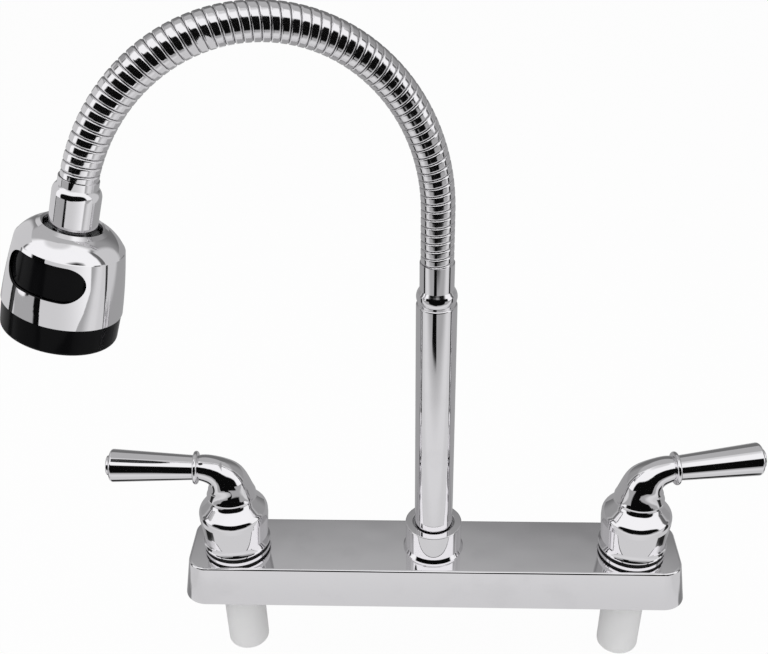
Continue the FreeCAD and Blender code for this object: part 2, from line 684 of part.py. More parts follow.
def make_supply_tube(side):
    """A straight tube from a valve's boss to the spout's boss, along X."""
    body = new_body(side + "_supply_tube")
    start = "(valve_radius + port_length - port_depth)"
    finish = "(handle_spacing / 2 - socket_radius - port_length + port_depth)"
    sketch = side_plane(body, start)
    circle(sketch, "supply_radius", "0", "port_height")
    circle(sketch, "supply_radius - supply_wall", "0", "port_height")
    tube = feature(body, "Pad", "tube", sketch)
    bind(tube, "Length", "%s - %s" % (finish, start))
    return body


# ---------------------------------------------------------------- handles

ELBOW = [
    # across, height, lean, radius of the elbow's rings
    ("0", "elbow_foot_height + 0.8", "0", "elbow_radius"),
    ("0.1", "elbow_foot_height + 2.8", "2", "elbow_radius - 0.8"),
    ("0.5", "lever_height - 10.4", "9", "elbow_radius - 1.5"),
    ("2.3", "lever_height - 6.5", "30", "elbow_radius - 2.0"),
    ("5.5", "lever_height - 2.4", "58", "lever_root_radius + 2.0"),
    ("10", "lever_height + 10 * tan(lever_rise) - 0.5", "78", "lever_root_radius + 0.85"),
    ("bead_reach - 1", "lever_height + (bead_reach - 1) * tan(lever_rise)", "90 - lever_rise",
     "lever_root_radius"),
]


def make_handle(side):
    """One casting: bell, neck, elbow, bead and lever. The lever points along +X."""
    body = new_body(side + "_handle")
    turn_profile(body, [
        (BELL_BORE, BELL_FOOT),
        ("bell_foot_radius - 0.3", BELL_FOOT),
        ("bell_foot_radius", "%s + 0.3" % BELL_FOOT),
        ("bell_foot_radius", "%s + bell_bead - 0.4" % BELL_FOOT),
        ("bell_foot_radius - 0.25", "%s + bell_bead" % BELL_FOOT, "-" + WAIST_COVE),
        ("bell_foot_radius - bell_waist", "%s + bell_waist_height" % BELL_FOOT),
        ("bell_radius", "bell_widest_from"),
        ("bell_radius", "bell_widest_to", "bell_shoulder"),
        ("bell_radius - cone_foot_drop", "bell_widest_to + cone_foot_rise"),
        ("cone_top_radius", "cone_top_height", "-neck_cove"),
        ("neck_radius", "neck_height"),
        ("neck_radius", "elbow_foot_height - 0.4"),
        ("elbow_radius - 0.3", "elbow_foot_height - 0.3"),
        ("elbow_radius", "elbow_foot_height"),
        ("elbow_radius", "elbow_foot_height + 0.8"),
        ("0", "elbow_foot_height + 0.8"),
        ("0", "stem_top + face_gap"),
        ("spline_radius + running_gap", "stem_top + face_gap"),
        ("spline_radius + running_gap", "boss_foot"),
        ("boss_radius", "boss_foot"),
        ("boss_radius", BELL_ROOF),
        (BELL_BORE + " - 1.2", BELL_ROOF),
        (BELL_BORE, "%s - 1.2" % BELL_ROOF),
    ], name="bell")
    doc.recompute()
    rings = []
    for across, height, lean, radius in ELBOW:
        turn = (Vector(0, 1, 0), lean) if lean != "0" else None
        sketch = new_sketch(body, "XY_Plane", shift=(across, "0", height), turn=turn)
        circle(sketch, radius)
        rings.append(sketch)
    feature(body, "AdditiveLoft", "elbow", rings[0], Sections=rings[1:], Ruled=False)
    doc.recompute()
    make_lever(body)
    make_lever_holes(body)
    return body


def make_lever(body):
    """The lever with its bead, revolved round the lever's own axis."""
    sketch = new_sketch(body, "XZ_Plane", shift=("0", "lever_height", "0"),
                        turn=(Vector(0, 0, 1), "lever_rise"))
    half = "bead_width / 2"
    outline(sketch, [
        ("bead_reach - bead_width", "0"),
        ("lever_reach", "0"),
        ("lever_reach", "lever_tip_radius - lever_edge_radius", "lever_edge_radius"),
        ("lever_reach - lever_edge_radius", "lever_tip_radius"),
        ("bead_reach + " + half, "lever_root_radius"),
        ("bead_reach + " + half, "bead_radius - " + half, half),
        ("bead_reach", "bead_radius", half),
        ("bead_reach - " + half, "bead_radius - " + half),
        ("bead_reach - " + half, "lever_root_radius"),
        ("bead_reach - bead_width", "lever_root_radius - 0.4"),
    ])
    feature(body, "Revolution", "lever", sketch, ReferenceAxis=(sketch, ["H_Axis"]), Angle=360)
    doc.recompute()


def make_lever_holes(body):
    """The hole for the end cap, and the set screw's hole through bell and boss."""
    sketch = new_sketch(body, "XZ_Plane", shift=("0", "lever_height", "0"),
                        turn=(Vector(0, 0, 1), "lever_rise"))
    outline(sketch, [
        ("lever_reach - end_cap_depth - face_gap", "0"),
        ("lever_reach + 1", "0"),
        ("lever_reach + 1", "end_cap_spigot + running_gap"),
        ("lever_reach - end_cap_depth - face_gap", "end_cap_spigot + running_gap"),
    ])
    feature(body, "Groove", "cap_hole", sketch, ReferenceAxis=(sketch, ["H_Axis"]), Angle=360)
    doc.recompute()
    sketch = side_plane(body, "bell_radius + 2")
    circle(sketch, "set_screw_radius + running_gap", "0", "set_screw_height")
    push_hole(body, "screw_hole", sketch, "bell_radius + 2")


def make_lever_end_cap(side):
    body = new_body(side + "_lever_end_cap")
    sketch = new_sketch(body, "XZ_Plane", shift=("0", "lever_height", "0"),
                        turn=(Vector(0, 0, 1), "lever_rise"))
    outline(sketch, [
        ("lever_reach - end_cap_depth", "0"),
        ("lever_reach + end_cap_proud", "0"),
        ("lever_reach + end_cap_proud", "end_cap_radius - 0.7", "0.7"),
        ("lever_reach + end_cap_proud - 0.7", "end_cap_radius"),
        ("lever_reach", "end_cap_radius"),
        ("lever_reach", "end_cap_spigot"),
        ("lever_reach - end_cap_depth", "end_cap_spigot"),
    ])
    feature(body, "Revolution", "cap", sketch, ReferenceAxis=(sketch, ["H_Axis"]), Angle=360)
    return body


def make_set_screw(side):
    """A grub screw along +X, from the stem out through the boss."""
    body = new_body(side + "_handle_set_screw")
    sketch = side_plane(body, "spline_radius + running_gap")
    circle(sketch, "set_screw_radius", "0", "set_screw_height")
    screw = feature(body, "Pad", "screw", sketch)
    bind(screw, "Length", "set_screw_length")
    doc.recompute()
    sketch = side_plane(body, "spline_radius + running_gap + set_screw_length")
    circle(sketch, "set_screw_radius / 2", "0", "set_screw_height")
    push_hole(body, "key", sketch, "set_screw_length / 2")
    return body


# ---------------------------------------------------------------- spout's foot and riser

def make_spout_socket():
    body = new_body("spout_socket")
    flange_foot = "(%s - clamp_height)" % COVER_UNDER
    turn_profile(body, [
        ("0", "face_gap"),
        ("socket_radius", "face_gap"),
        ("socket_radius", flange_foot),
        ("clamp_radius", flange_foot),
        ("clamp_radius", COVER_UNDER),
        ("socket_radius", COVER_UNDER),
        ("socket_radius", "socket_top"),
        ("0", "socket_top"),
    ])
    doc.recompute()
    sketch = side_plane(body, "0")
    circle(sketch, "port_radius", "0", "port_height")
    boss = feature(body, "Pad", "bosses", sketch, Midplane=True)
    bind(boss, "Length", "2 * (socket_radius + port_length)")
    doc.recompute()
    bore_groove(body, [
        ("0", "socket_floor"),
        ("tube_radius + running_gap", "socket_floor"),
        ("tube_radius + running_gap", "socket_top + 1"),
        ("0", "socket_top + 1"),
    ])
    for side, name in ((-1, "left"), (1, "right")):
        port_bore(body, "socket_radius + port_length", name, side)
    return body


def make_spout_flange_ring():
    return turned_body("spout_flange_ring", [
        ("socket_radius + face_gap", "deck_height"),
        ("flange_radius", "deck_height"),
        ("flange_radius", "%s - 2.0" % FLANGE_TOP),
        ("flange_radius - 1.0", FLANGE_TOP),
        ("socket_radius + face_gap", FLANGE_TOP),
    ])


def make_spout_collar_nut():
    body = new_body("spout_collar_nut")
    turn_profile(body, [
        ("socket_radius + running_gap", FLANGE_TOP),
        ("collar_radius", FLANGE_TOP),
        ("collar_radius", COLLAR_TOP),
        ("collar_mouth_radius", COLLAR_TOP),
        ("collar_mouth_radius", COLLAR_ROOF),
        ("socket_radius + running_gap", COLLAR_ROOF),
    ])
    top = size(COLLAR_TOP)
    round_edges(body, "edges", "collar_edge", lambda edge: at_height(edge, top))
    return body


def make_spout_spigot():
    """Brass insert in the tube's foot; its two grooves hold the O-rings."""
    grooves = []
    for height in ("spigot_ring_height", "spigot_ring_height + spigot_ring_step"):
        for radius, side in (("tube_radius", "-"), ("tube_radius - 2 * o_ring_wire", "-"),
                             ("tube_radius - 2 * o_ring_wire", "+"), ("tube_radius", "+")):
            grooves.append((radius, "%s %s 1.2 * o_ring_wire" % (height, side)))
    return turned_body("spout_spigot", [
        ("spigot_bore_radius", "spigot_foot"),
        ("tube_radius - 0.5", "spigot_foot"),
        ("tube_radius", "spigot_foot + 0.5"),
    ] + grooves + [
        ("tube_radius", "spigot_joint"),
        ("%s - running_gap" % TUBE_BORE, "spigot_joint"),
        ("%s - running_gap" % TUBE_BORE, "spigot_joint + spigot_reach"),
        ("spigot_bore_radius", "spigot_joint + spigot_reach"),
    ])


def make_retaining_ring():
    body = new_body("spout_retaining_ring")
    inner = "tube_radius - groove_depth + running_gap"
    turn_profile(body, [
        (inner, RING_FOOT),
        ("socket_radius - 0.5", RING_FOOT),
        ("socket_radius - 0.5", RING_FOOT + " + ring_height"),
        (inner, RING_FOOT + " + ring_height"),
    ])
    doc.recompute()
    sketch = new_sketch(body, "XY_Plane", shift=("0", "0", RING_FOOT + " + ring_height"))
    outline(sketch, [("-1.2", "0"), ("1.2", "0"), ("1.2", "socket_radius"), ("-1.2", "socket_radius")])
    push_hole(body, "slit", sketch, "ring_height")
    return body


def make_riser_tube():
    body = new_body("riser_tube")
    turn_profile(body, [
        (TUBE_BORE, "spigot_joint"),
        ("tube_radius", "spigot_joint"),
        ("tube_radius", RING_FOOT + " - running_gap"),
        ("tube_radius - groove_depth", RING_FOOT + " - running_gap"),
        ("tube_radius - groove_depth", RING_FOOT + " + ring_height + running_gap"),
        ("tube_radius", RING_FOOT + " + ring_height + running_gap"),
        ("tube_radius", COLLAR_TOP + " + 4"),
        ("tube_radius - tube_taper", "tube_top - tube_edge_radius", "tube_edge_radius"),
        ("tube_radius - tube_taper - tube_edge_radius", "tube_top"),
        (TUBE_BORE, "tube_top"),
    ])
    return body


def make_lower_ferrule():
    bulge = "((%s)^2 + (%s)^2) / (2 * (%s))" % (
        "ferrule_bead_radius - ferrule_neck_radius",
        "ferrule_bead_height - ferrule_neck_top",
        "ferrule_bead_radius - ferrule_neck_radius")
    return turned_body("lower_ferrule", [
        ("water_tube_radius + running_gap", "tube_top - ferrule_spigot"),
        ("%s - running_gap" % TUBE_BORE, "tube_top - ferrule_spigot"),
        ("%s - running_gap" % TUBE_BORE, "tube_top"),
        ("ferrule_neck_radius", "tube_top"),
        ("ferrule_neck_radius", "tube_top + ferrule_neck_top", bulge),
        ("ferrule_bead_radius", "tube_top + ferrule_bead_height", bulge),
        ("ferrule_neck_radius", "tube_top + 2 * ferrule_bead_height - ferrule_neck_top"),
        ("ferrule_radius", "tube_top + ferrule_shoulder"),
        ("ferrule_radius", "hose_start"),
        ("hose_end_radius + running_gap", "hose_start"),
        ("hose_end_radius + running_gap", "hose_start - hose_end_length - face_gap"),
        ("water_tube_radius + running_gap", "hose_start - hose_end_length - face_gap"),
    ])


# ---------------------------------------------------------------- gooseneck
# The hose leaves the lower ferrule straight up, follows part of an ellipse in an upright plane,
# and enters the upper ferrule. In that plane, across is the way out from the riser.

END_ACROSS = "(bend_across * (1 - cos(bend_end)))"
END_UP = "(bend_start + bend_up * sin(bend_end))"
LEAN = "atan2(bend_across * sin(bend_end); -bend_up * cos(bend_end))"
BALL_ACROSS = "(%s + ball_drop * sin(%s))" % (END_ACROSS, LEAN)
BALL_UP = "(%s - ball_drop * cos(%s))" % (END_UP, LEAN)
TURN_OUT = "create(<<rotation>>; create(<<vector>>; 0; 0; 1); %s)"
HEAD_POSE = (
    "create(<<placement>>; create(<<vector>>; -cos(plane_turn) * %s; -sin(plane_turn) * %s; %s); "
    % (BALL_ACROSS, BALL_ACROSS, BALL_UP)
    + TURN_OUT % "plane_turn"
    + " * create(<<rotation>>; create(<<vector>>; 0; 1; 0); %s)" % LEAN
    + " * " + TURN_OUT % "-button_turn" + ")")
PLANE_POSE = "create(<<placement>>; create(<<vector>>; 0; 0; 0); " + TURN_OUT % "180 + plane_turn" + ")"

BEND_STEPS = 2000


def bend_table():
    """Length along the bend against its angle."""
    across, up, finish = size("bend_across"), size("bend_up"), math.radians(size("bend_end"))
    table = [(0.0, 0.0)]
    for step in range(1, BEND_STEPS + 1):
        middle = finish * (step - 0.5) / BEND_STEPS
        pace = math.hypot(across * math.sin(middle), up * math.cos(middle))
        table.append((table[-1][0] + pace * finish / BEND_STEPS, finish * step / BEND_STEPS))
    return table


BEND = bend_table()
STRAIGHT = size("bend_start - hose_start")
HOSE_LENGTH = STRAIGHT + BEND[-1][0]
RIB = HOSE_LENGTH / size("rib_count")


def along_hose(way):
    """Point and direction of the hose's axis at a length from the lower ferrule. Before the
    start and after the end the axis goes on straight."""
    if way <= STRAIGHT:
        return Vector(0, 0, size("hose_start") + way), Vector(0, 0, 1)
    left_over = max(0.0, way - HOSE_LENGTH)
    rest = min(way - STRAIGHT, BEND[-1][0])
    step = min(int(rest / BEND[-1][0] * BEND_STEPS), BEND_STEPS - 1)
    while BEND[step + 1][0] < rest:
        step += 1
    while BEND[step][0] > rest:
        step -= 1
    share = (rest - BEND[step][0]) / (BEND[step + 1][0] - BEND[step][0])
    angle = BEND[step][1] + share * (BEND[step + 1][1] - BEND[step][1])
    across, up = size("bend_across"), size("bend_up")
    spot = Vector(across * (1 - math.cos(angle)), 0, size("bend_start") + up * math.sin(angle))
    ahead = Vector(across * math.sin(angle), 0, up * math.cos(angle)).normalize()
    return spot + ahead * left_over, ahead


def ring_on_hose(way, radius):
    """A circle square to the hose's axis, its seam always on the same side of the plane."""
    spot, ahead = along_hose(way)
    steady = Vector(0, -1, 0)
    ring = Part.makeCircle(radius)
    ring.Placement = Placement(spot, Rotation(steady, ahead.cross(steady), ahead, "ZXY"))
    return Part.Wire([ring])


def tube_through(outer, inner):
    """A ruled tube through rings, each given as (way, radius)."""
    skin = Part.makeLoft([ring_on_hose(*ring) for ring in outer], True, True)
    bore = Part.makeLoft([ring_on_hose(*ring) for ring in inner], True, True)
    return skin.cut(bore)


def new_shape(label, shape, pose):
    made = doc.addObject("Part::Feature", label)
    made.Label = label
    made.Shape = shape
    bind(made, "Placement", pose)
    return made


def make_hose(label, first, last, plain_foot=False, plain_top=False):
    """Ribs number first to last of the hose. Each rib is a groove, two rings on its crest and
    the next groove's edge. The hose's own ends are plain and sit in the ferrules."""
    groove, crest, bore = size("hose_groove_radius"), size("hose_radius"), size("hose_bore_radius")
    plain, length = size("hose_end_radius"), size("hose_end_length")
    half_gap = size("hose_end_gap") / 2
    start, finish = first * RIB + half_gap, last * RIB - half_gap
    outer, inner = [], []
    if plain_foot:
        start = 0.0
        outer += [(-length, plain), (-0.01, plain)]
        inner += [(-length - 1, bore)]
    else:
        inner += [(start - 0.5, bore)]
    if plain_top:
        last -= 1
        finish = last * RIB
    for rib in range(first, last):
        for share, radius in ((0.0, groove), (0.1, crest), (0.86, crest), (0.96, groove)):
            outer.append((max(start, (rib + share) * RIB), radius))
        inner.append(((rib + 0.5) * RIB, bore))
    outer.append((finish, groove))
    if plain_top:
        outer += [(finish + 0.01, plain), (HOSE_LENGTH, plain), (HOSE_LENGTH + length, plain)]
        inner += [(HOSE_LENGTH, bore), (HOSE_LENGTH + length + 1, bore)]
    else:
        inner += [(finish + 0.5, bore)]
    return new_shape(label, tube_through(outer, inner), PLANE_POSE)


def make_water_tube():
    """The soft tube inside the hose, from ferrule to ferrule."""
    start = size("tube_top - ferrule_spigot + 2 - hose_start")
    finish = HOSE_LENGTH + size("upper_narrow_length + upper_flare_length")
    steps = size("rib_count")
    ways = [start, 0.0]
    ways += [HOSE_LENGTH * step / steps for step in range(1, int(steps) + 1)]
    ways += [finish]
    outer = [(way, size("water_tube_radius")) for way in ways]
    inner = [(way, size("water_tube_radius - water_tube_wall")) for way in ways]
    inner[0] = (start - 1, inner[0][1])
    inner[-1] = (finish + 1, inner[-1][1])
    return new_shape("water_tube", tube_through(outer, inner), PLANE_POSE)


# ---------------------------------------------------------------- swivel and spray head
# All of these are modelled round the ball's centre, with +Z up the head's axis and -Y towards
# the button, and placed together.

SEAT = "(ball_radius + seat_gap)"


def make_upper_ferrule():
    mouth_depth = "(hose_end_length + face_gap)"
    flare = "(((upper_radius - upper_narrow_radius)^2 + upper_flare_length^2) " \
            "/ (2 * (upper_radius - upper_narrow_radius)))"
    return turned_body("upper_ferrule", [
        ("ball_neck_radius + running_gap", "ball_drop - upper_length"),
        ("upper_radius - upper_edge", "ball_drop - upper_length"),
        ("upper_radius", "ball_drop - upper_length + upper_edge"),
        ("upper_radius", "ball_drop + upper_cover - upper_narrow_length - upper_flare_length",
         flare),
        ("upper_narrow_radius", "ball_drop + upper_cover - upper_narrow_length"),
        ("upper_narrow_radius", "ball_drop + upper_cover"),
        ("hose_end_radius + upper_mouth_gap", "ball_drop + upper_cover"),
        ("hose_end_radius + upper_mouth_gap", "ball_drop - %s" % mouth_depth),
        ("water_tube_radius + running_gap", "ball_drop - %s" % mouth_depth),
        ("water_tube_radius + running_gap", "ball_neck_top + face_gap"),
        ("ball_neck_radius + running_gap", "ball_neck_top + face_gap"),
    ])


def make_swivel_ball():
    return turned_body("swivel_ball", [
        ("ball_bore_radius", "-ball_flat"),
        ("sqrt(ball_radius^2 - ball_flat^2)", "-ball_flat", "ball_radius"),
        ("ball_radius", "0", "ball_radius"),
        ("ball_neck_radius", "sqrt(ball_radius^2 - ball_neck_radius^2)"),
        ("ball_neck_radius", "ball_neck_top"),
        ("ball_bore_radius", "ball_neck_top"),
    ])


def make_ball_retainer():
    """The collar in the head that the ball hangs in."""
    return turned_body("ball_retainer", [
        ("sqrt(%s^2 - retainer_foot^2)" % SEAT, "retainer_foot"),
        ("retainer_flange_radius", "retainer_foot"),
        ("retainer_flange_radius", "retainer_foot + retainer_flange"),
        ("retainer_radius", "retainer_foot + retainer_flange"),
        ("retainer_radius", "retainer_top"),
        ("sqrt(%s^2 - retainer_seat^2) + 0.3" % SEAT, "retainer_top"),
        ("sqrt(%s^2 - retainer_seat^2)" % SEAT, "retainer_seat", "-%s" % SEAT),
    ])


def make_ball_seal():
    return turned_body("ball_seal", [
        ("sqrt(%s^2 - seal_ring_top^2)" % SEAT, "-seal_ring_top", "-%s" % SEAT),
        ("sqrt(%s^2 - ball_flat^2)" % SEAT, "-ball_flat"),
        ("sqrt(%s^2 - ball_flat^2)" % SEAT, "-seal_ring_foot"),
        ("%s" % SEAT, "-seal_ring_foot"),
        ("%s" % SEAT, "-seal_ring_top"),
    ])


def facing_button(body, out):
    """A sketch square to the button's travel, that far out from the head's axis."""
    return new_sketch(body, "XZ_Plane", shift=("0", "0", out))


def make_inlet_body():
    body = new_body("inlet_body")
    turn_profile(body, [
        ("inlet_passage", "inlet_foot"),
        ("face_thread_radius - running_gap", "inlet_foot"),
        ("face_thread_radius - running_gap", "inlet_foot + inlet_flange"),
        ("inlet_radius", "inlet_foot + inlet_flange"),
        ("inlet_radius", "retainer_foot"),
        ("%s + running_gap" % SEAT, "retainer_foot"),
        ("%s + running_gap" % SEAT, "-seal_ring_foot"),
        ("inlet_passage", "-seal_ring_foot"),
    ])
    doc.recompute()
    outside = "inlet_radius + 1"
    sketch = facing_button(body, outside)
    circle(sketch, "plunger_radius + running_gap", "0", "plunger_height")
    push_hole(body, "rod_bore", sketch, outside + " + plunger_reach + button_travel + hole_gap")
    sketch = facing_button(body, outside)
    circle(sketch, "spring_radius + spring_wire + face_gap", "0", "plunger_height")
    push_hole(body, "spring_seat", sketch, outside + " - spring_seat")
    return body


def side_radius(height, inset="0"):
    """The shell's straight side at a height, less an inset."""
    top_radius = "(dome_radius + side_step)"
    share = "((dome_foot - side_step - (%s)) / (dome_foot - side_step - head_foot))" % height
    return "(%s + (head_radius - %s) * %s - %s)" % (top_radius, top_radius, share, inset)


def stadium(sketch, wide, tall, up):
    """A slot shape with round ends, its middle at height up."""
    half_wide, half_tall = "(%s) / 2" % wide, "(%s) / 2" % tall
    straight = "((%s) - (%s)) / 2" % (wide, tall)
    outline(sketch, [
        ("-" + straight, "%s - %s" % (up, half_tall)),
        (straight, "%s - %s" % (up, half_tall), half_tall),
        (half_wide, up, half_tall),
        (straight, "%s + %s" % (up, half_tall)),
        ("-" + straight, "%s + %s" % (up, half_tall), half_tall),
        ("-" + half_wide, up, half_tall),
    ])


def make_head_shell():
    body = new_body("head_shell")
    turn_profile(body, [
        ("head_radius - head_wall", "head_foot"),
        ("head_radius", "head_foot", "side_bulge"),
        ("dome_radius + side_step", "dome_foot - side_step"),
        ("dome_radius", "dome_foot", "dome_bulge"),
        ("rim_radius + 2.4", "rim_height - 1.15"),
        ("rim_radius + 0.8", "rim_height"),
        ("rim_radius", "rim_height - 0.5"),
        ("rim_radius", "rim_height - head_wall"),
        ("rim_radius + 2.4", "rim_height - 0.95 - head_wall"),
        ("dome_radius - head_wall - 2.2", "dome_foot + 2.8"),
        ("dome_radius - head_wall", "dome_foot - 1"),
    ])
    doc.recompute()
    sketch = facing_button(body, "0")
    stadium(sketch, "button_width + 2 * button_gap", "button_tall + 2 * button_gap", "button_height")
    push_hole(body, "button_hole", sketch, "head_radius + 2", reverse=True)
    return body


PLATE_FOOT = "(face_ring_foot + spray_plate_recess)"
PLATE_TOP = "(face_ring_foot + spray_plate_recess + spray_plate_thickness)"


def make_face_ring():
    bore = "(head_radius - head_wall - running_gap)"
    slope = "(head_radius - dome_radius) / (dome_foot - 1 - head_foot)"
    return turned_body("face_ring", [
        ("face_opening_radius", "face_ring_foot"),
        ("face_ring_radius - face_ring_edge", "face_ring_foot", "face_ring_edge"),
        ("face_ring_radius", "face_ring_foot + face_ring_edge"),
        ("head_radius - 0.35", "head_foot - 0.1"),
        (bore, "head_foot - 0.1"),
        ("%s - face_spigot * %s" % (bore, slope), "head_foot + face_spigot"),
        ("face_thread_radius", "head_foot + face_spigot"),
        ("face_thread_radius", PLATE_TOP + " - plate_flange"),
        ("face_opening_radius", PLATE_TOP + " - plate_flange"),
    ])


def ring_of_holes(body, name, radius, reach, count, foot):
    """Holes through the body's foot, evenly spaced round its axis."""
    doc.recompute()
    sketch = new_sketch(body, "XY_Plane", shift=("0", "0", foot))
    circle(sketch, radius, reach)
    hole = push_hole(body, name, sketch, "2 * spray_plate_thickness", reverse=True)
    before = body.Shape.Volume
    pattern = body.newObject("PartDesign::PolarPattern", body.Label + "_" + name + "_ring")
    pattern.Originals = [hole]
    pattern.Axis = (sketch, ["N_Axis"])
    pattern.Angle = 360
    bind(pattern, "Occurrences", count)
    body.Tip = pattern
    doc.recompute()
    if not body.Shape.Volume < before:
        raise RuntimeError(pattern.Name + " makes no holes")


def make_spray_plate():
    body = new_body("spray_plate")
    turn_profile(body, [
        ("aerator_radius + running_gap", PLATE_FOOT),
        ("face_opening_radius - running_gap", PLATE_FOOT),
        ("face_opening_radius - running_gap", PLATE_TOP + " - plate_flange"),
        ("face_thread_radius - running_gap", PLATE_TOP + " - plate_flange"),
        ("face_thread_radius - running_gap", PLATE_TOP),
        ("aerator_radius + running_gap", PLATE_TOP),
    ])
    for name, reach in (("inner", "spray_inner_ring"), ("outer", "spray_outer_ring")):
        ring_of_holes(body, name, "spray_hole_radius", reach, "spray_hole_count", PLATE_FOOT)
    return body


def make_aerator_insert():
    body = new_body("aerator_insert")
    turn_profile(body, [
        ("0", PLATE_FOOT),
        ("aerator_radius", PLATE_FOOT),
        ("aerator_radius", PLATE_TOP),
        ("aerator_radius + 1", PLATE_TOP),
        ("aerator_radius + 1", PLATE_TOP + " + 1"),
        ("0", PLATE_TOP + " + 1"),
    ])
    for name, reach, count in (("inner", "aerator_radius * 0.35", "6"),
                               ("outer", "aerator_radius * 0.75", "12")):
        ring_of_holes(body, name, "spray_hole_radius", reach, count, PLATE_FOOT)
    return body


def make_mode_button():
    """A slot-shaped piece of a ring that follows the head's side."""
    body = new_body("mode_button")
    low = "(button_height - button_tall / 2 - 1)"
    high = "(button_height + button_tall / 2 + 1)"
    sketch = new_sketch(body, "YZ_Plane")
    inner = "button_recess + button_thickness"
    outline(sketch, [
        ("-" + side_radius(low, "button_recess"), low),
        ("-" + side_radius(low, "(%s)" % inner), low),
        ("-" + side_radius(high, "(%s)" % inner), high),
        ("-" + side_radius(high, "button_recess"), high),
    ])
    feature(body, "Revolution", "ring", sketch, ReferenceAxis=(sketch, ["V_Axis"]), Angle=130,
            Midplane=True)
    doc.recompute()
    sketch = facing_button(body, "0")
    stadium(sketch, "button_width", "button_tall", "button_height")
    reach = "2 * head_radius"
    outline(sketch, [
        ("-" + reach, "button_height - head_radius"),
        (reach, "button_height - head_radius"),
        (reach, "button_height + head_radius"),
        ("-" + reach, "button_height + head_radius"),
    ])
    push_hole(body, "slot", sketch, "head_radius + 2", reverse=True)
    return body


BUTTON_BACK = side_radius("plunger_height", "(button_recess + button_thickness)")


def make_diverter_plunger():
    body = new_body("diverter_plunger")
    sketch = facing_button(body, "-plunger_reach")
    circle(sketch, "plunger_radius", "0", "plunger_height")
    rod = feature(body, "Pad", "rod", sketch)
    bind(rod, "Length", "%s + plunger_reach - rod_gap" % BUTTON_BACK)
    return body


def biarc(start, start_way, end, end_way):
    """Two tangent arcs from one point and direction to another."""
    span, both = end - start, start_way + end_way
    slack = 2 * (1 - start_way.dot(end_way))
    lean = span.dot(both)
    reach = (-lean + math.sqrt(lean ** 2 + slack * span.dot(span))) / slack
    joint = (start + end + (start_way - end_way) * reach) * 0.5
    arcs = []
    for first, way, last in ((start, start_way, joint), (end, end_way * -1, joint)):
        chord = last - first
        aside = way - chord * (way.dot(chord) / chord.dot(chord))
        sag = chord.Length / 2 * math.tan(way.getAngle(chord) / 2)
        middle = (first + last) * 0.5 + aside.normalize() * sag
        ends = (first, middle, last) if first is start else (last, middle, first)
        arcs.append(Part.Arc(*ends).toShape())
    return arcs


def make_button_spring():
    """A coil round the rod, between the bottom of its seat and the button."""
    radius, wire = size("spring_radius"), size("spring_wire")
    start = size("spring_seat") + wire + 0.05
    finish = size(BUTTON_BACK) - wire - 0.5
    turns = int(size("spring_turns"))
    pitch = (finish - start) / turns
    rise = Vector(0, -pitch / (2 * math.pi), 0)
    height = size("plunger_height")

    def on_coil(angle):
        spot = Vector(radius * math.cos(angle), -start, height + radius * math.sin(angle))
        way = Vector(-radius * math.sin(angle), 0, radius * math.cos(angle)) + rise
        return spot + rise * angle, way.normalize()

    edges = []
    for quarter in range(4 * turns):
        here, here_way = on_coil(quarter * math.pi / 2)
        there, there_way = on_coil((quarter + 1) * math.pi / 2)
        edges += biarc(here, here_way, there, there_way)
    path = Part.Wire(edges)
    spot, way = on_coil(0)
    section = Part.Wire([Part.makeCircle(wire, spot, way)])
    print("button_spring: least gap between its turns %.2f mm" % (pitch - 2 * wire))
    return new_shape("button_spring", path.makePipeShell([section], True), HEAD_POSE)


# ---------------------------------------------------------------- the whole faucet

def make_side(side, sign, valve_turn, handle_turn):
    """One valve with its handle. Both are modelled on the spout's axis with the supply tube and
    the lever along +X, and then placed on their own hub."""
    hub = "%s * handle_spacing / 2" % sign
    upright = Vector(0, 0, 1)
    fixed = [
        make_valve_body(side),
        make_cartridge_housing(side),
        make_seat_seal(side),
        make_disc(side, "lower_disc", SEAL_TOP, LOWER_DISC_TOP, True),
        make_bonnet_nut(side),
        make_cover_nut(side),
        make_base_gasket(side),
        make_shank_cap(side),
        make_supply_tube(side),
    ]
    turning = [
        make_disc(side, "upper_disc", LOWER_DISC_TOP, UPPER_DISC_TOP, False),
        make_stem(side),
        make_ring(side + "_stem_o_ring", "stem_radius - o_ring_wire", ["stem_groove_height"]),
        make_handle(side),
        make_lever_end_cap(side),
        make_set_screw(side),
    ]
    for body in fixed:
        place(body, (hub, "0", "0"), upright, valve_turn)
    for body in turning:
        place(body, (hub, "0", "0"), upright, handle_turn)
    return fixed + turning


def make_head():
    pieces = [
        make_upper_ferrule(),
        make_swivel_ball(),
        make_ball_retainer(),
        make_ball_seal(),
        make_inlet_body(),
        make_head_shell(),
        make_face_ring(),
        make_spray_plate(),
        make_aerator_insert(),
        make_mode_button(),
        make_diverter_plunger(),
    ]
    for piece in pieces:
        bind(piece, "Placement", HEAD_POSE)
    return pieces + [make_button_spring()]


def make_spout():
    middle = "tube_radius - o_ring_wire"
    return [
        make_spout_socket(),
        make_spout_flange_ring(),
        make_spout_collar_nut(),
        make_spout_spigot(),
        make_ring("spout_o_ring_lower", middle, ["spigot_ring_height"]),
        make_ring("spout_o_ring_upper", middle, ["spigot_ring_height + spigot_ring_step"]),
        make_retaining_ring(),
        make_riser_tube(),
        make_lower_ferrule(),
    ]


def make_gooseneck():
    count = int(size("rib_count"))
    first, second = int(size("lower_ribs")), int(size("lower_ribs + bend_ribs"))
    third, fourth = count - int(size("upper_ribs + bend_ribs")), count - int(size("upper_ribs"))
    return [
        make_hose("hose_lower", 0, first, plain_foot=True),
        make_hose("hose_flex_lower", first, second),
        make_hose("hose_middle", second, third),
        make_hose("hose_flex_upper", third, fourth),
        make_hose("hose_upper", fourth, count, plain_top=True),
        make_water_tube(),
    ]


